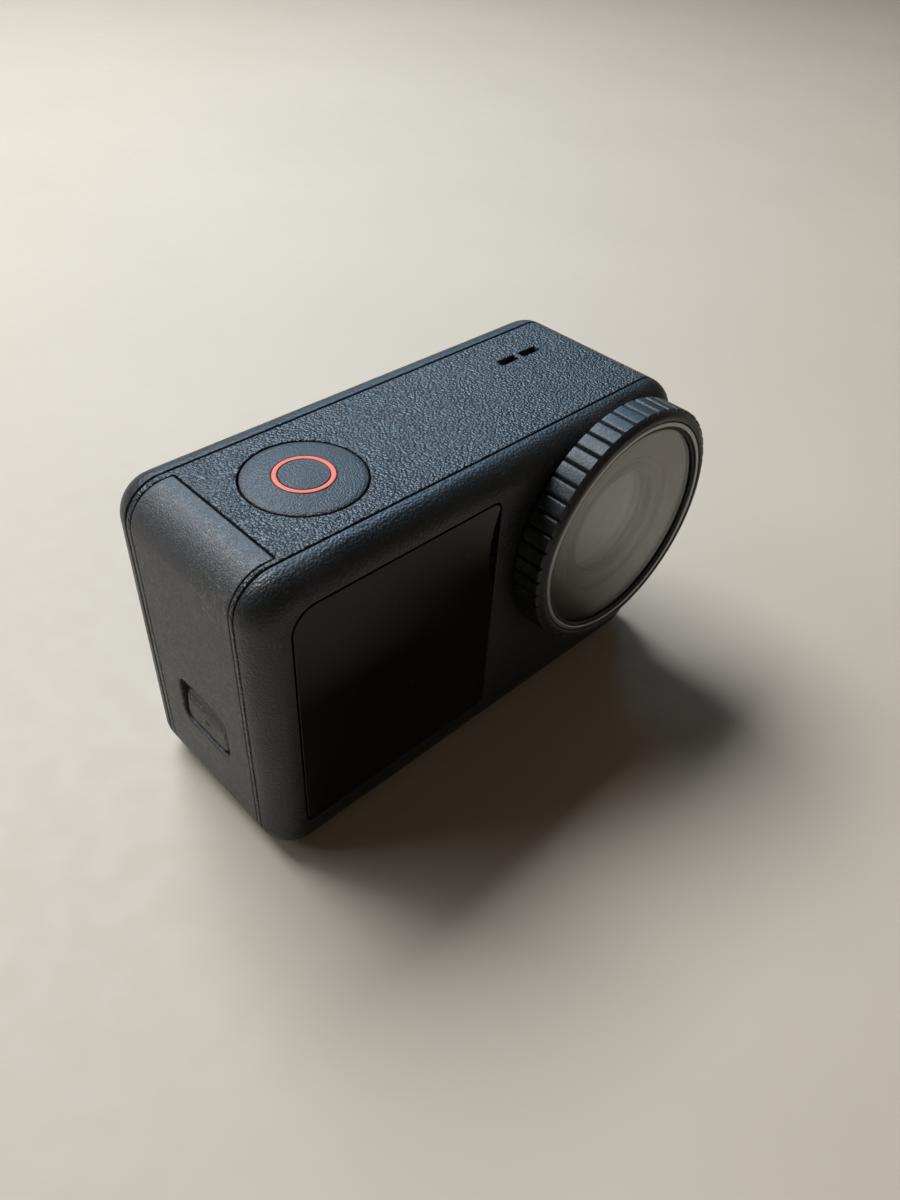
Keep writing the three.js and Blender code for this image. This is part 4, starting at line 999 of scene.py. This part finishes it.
def mode_button():
    """A pill-shaped cap with soft edges on a wider flange."""
    low, high = span("mode_button")
    y, z = middle("mode_button")[1:]

    def outline(inset):
        return rounded(*mode_size, mode_size[0] / 2 - 0.005, y, z, grow=-inset)

    flange_end = side - band_wall - fit
    levels = [(inset, high[0] - depth) for inset, depth in soft(0.4, 5)]
    levels += [(0.0, flange_end), (-0.8, flange_end), (-0.8, low[0])]
    place(stack(outline, at_x, levels).object("mode_key_cap"), "mode_key", "button", "mode_button")


def bottom_plate():
    w, d, t = size("bottom_plate")
    made = stack(lambda inset: rounded(w, d, plate_corner, 0, 0, grow=-inset), at_z,
                 plate_levels(0.0, t, 0.15))
    place(made.object("bottom_plate_pad"), "camera_body", "steel", "bottom_plate")


front_shell()
rear_shell()
mid_frame()
bulkhead()
panel("front_glass_pane", "front_glass", front, front + 0.9)
panel("rear_glass_pane", "rear_glass", rear, rear - 0.9)
battery_door()
latch()
lens_cover_ring()
lens_ring("lens_cover_trim", "lens_cover_bezel", "lens_cover", "bezel", 0.6, [0.15, 0.15, 0, 0])
lens_ring("lens_cover_o_ring", "lens_cover_gasket", "lens_cover", "rubber", 0.5, [0.08, 0.05, 0.05, 0.08])
lens_ring("lens_name_ring", "lens_retaining_ring", "camera_body", "barrel", 1.3, [0.25, 0.15, 0, 0])
disc("lens_cover_window", "lens_cover_glass", "lens_cover", "cover_glass", 0.0, 0.08)
disc("lens_front_dome", "lens_front_element", "camera_body", "lens_glass", 0.4, 0.1)
shutter()
port_door()
mode_button()
bottom_plate()


# ---- floor, light and camera ----

def floor():
    """A pale floor just under the camera, flat for a long way and then curving up as a wall all round: its
    profile is a straight line, a quarter circle and a straight line, turned about the middle."""
    flat, curve, wall = 900.0, 500.0, 500.0
    a = np.linspace(0, np.pi / 2, 13)
    bend_up = np.stack([flat + curve * np.sin(a), curve * (1 - np.cos(a))], 1)
    profile = np.concatenate([[(1e-6, 0.0), (450.0, 0.0)], bend_up, [(flat + curve, curve + wall)]])
    made = turned(profile - (0, 0.05), at_z, 0, 0, 64, closed=False).object("floor")
    made.data.shade_smooth()
    finish = Finish("pale floor", Specular_IOR_Level=0.3)
    finish.set("Base Color", finish.mix(finish.noise(60.0, 3.0), (0.58, 0.495, 0.39), (0.64, 0.55, 0.44)))
    finish.set("Roughness", finish.ramp(finish.noise(4.0), 0.3, 0.7, 0.55, 0.65))
    made.data.materials.append(finish.material)


def lamp(name, place_mm, aim_mm, wide, high, power, colour):
    """A soft rectangular light, turned to face its aim."""
    data = bpy.data.lights.new(name, "AREA")
    data.shape = "RECTANGLE"
    data.size, data.size_y = wide * MM, high * MM
    data.energy, data.color = power, colour
    made = bpy.data.objects.new(name, data)
    made.location = Vector(place_mm) * MM
    made.rotation_euler = (Vector(aim_mm) - Vector(place_mm)).to_track_quat("-Z", "Y").to_euler()
    bpy.context.scene.collection.objects.link(made)
    return made


def camera():
    """The viewpoint: above the front left corner, looking down across the top and front."""
    ahead = Vector((0.53695, 0.51273, -0.66992)).normalized()
    right = Vector((0.72197, -0.69008, 0.05052))
    right = (right - ahead * right.dot(ahead)).normalized()
    up = right.cross(ahead)
    turn = Matrix((right, up, -ahead)).transposed().to_4x4()
    data = bpy.data.cameras.new("camera")
    data.sensor_width = 36
    data.lens = 28.22
    data.clip_start, data.clip_end = 0.005, 10
    made = bpy.data.objects.new("camera", data)
    made.matrix_world = Matrix.Translation(Vector((-66.44, -70.17, 101.589)) * MM) @ turn
    bpy.context.scene.collection.objects.link(made)
    bpy.context.scene.camera = made


floor()
body_middle = (0.0, 0.0, 20.0)
lamp("window", (-30, 430, 620), body_middle, 500, 330, 7.8, (0.84, 0.92, 1.0))
lamp("left window", (-520, 460, 460), body_middle, 320, 260, 1.1, (0.78, 0.89, 1.0))
lamp("sky sheen", (420, 540, 580), body_middle, 520, 360, 4.2, (0.34, 0.67, 1.0)).visible_diffuse = False
world = bpy.data.worlds.new("room light")
world.use_nodes = True
world.node_tree.nodes["Background"].inputs["Color"].default_value = (1.0, 0.84, 0.66, 1.0)
world.node_tree.nodes["Background"].inputs["Strength"].default_value = 0.035
bpy.context.scene.world = world
camera()
bpy.context.scene.view_settings.view_transform = "Standard"
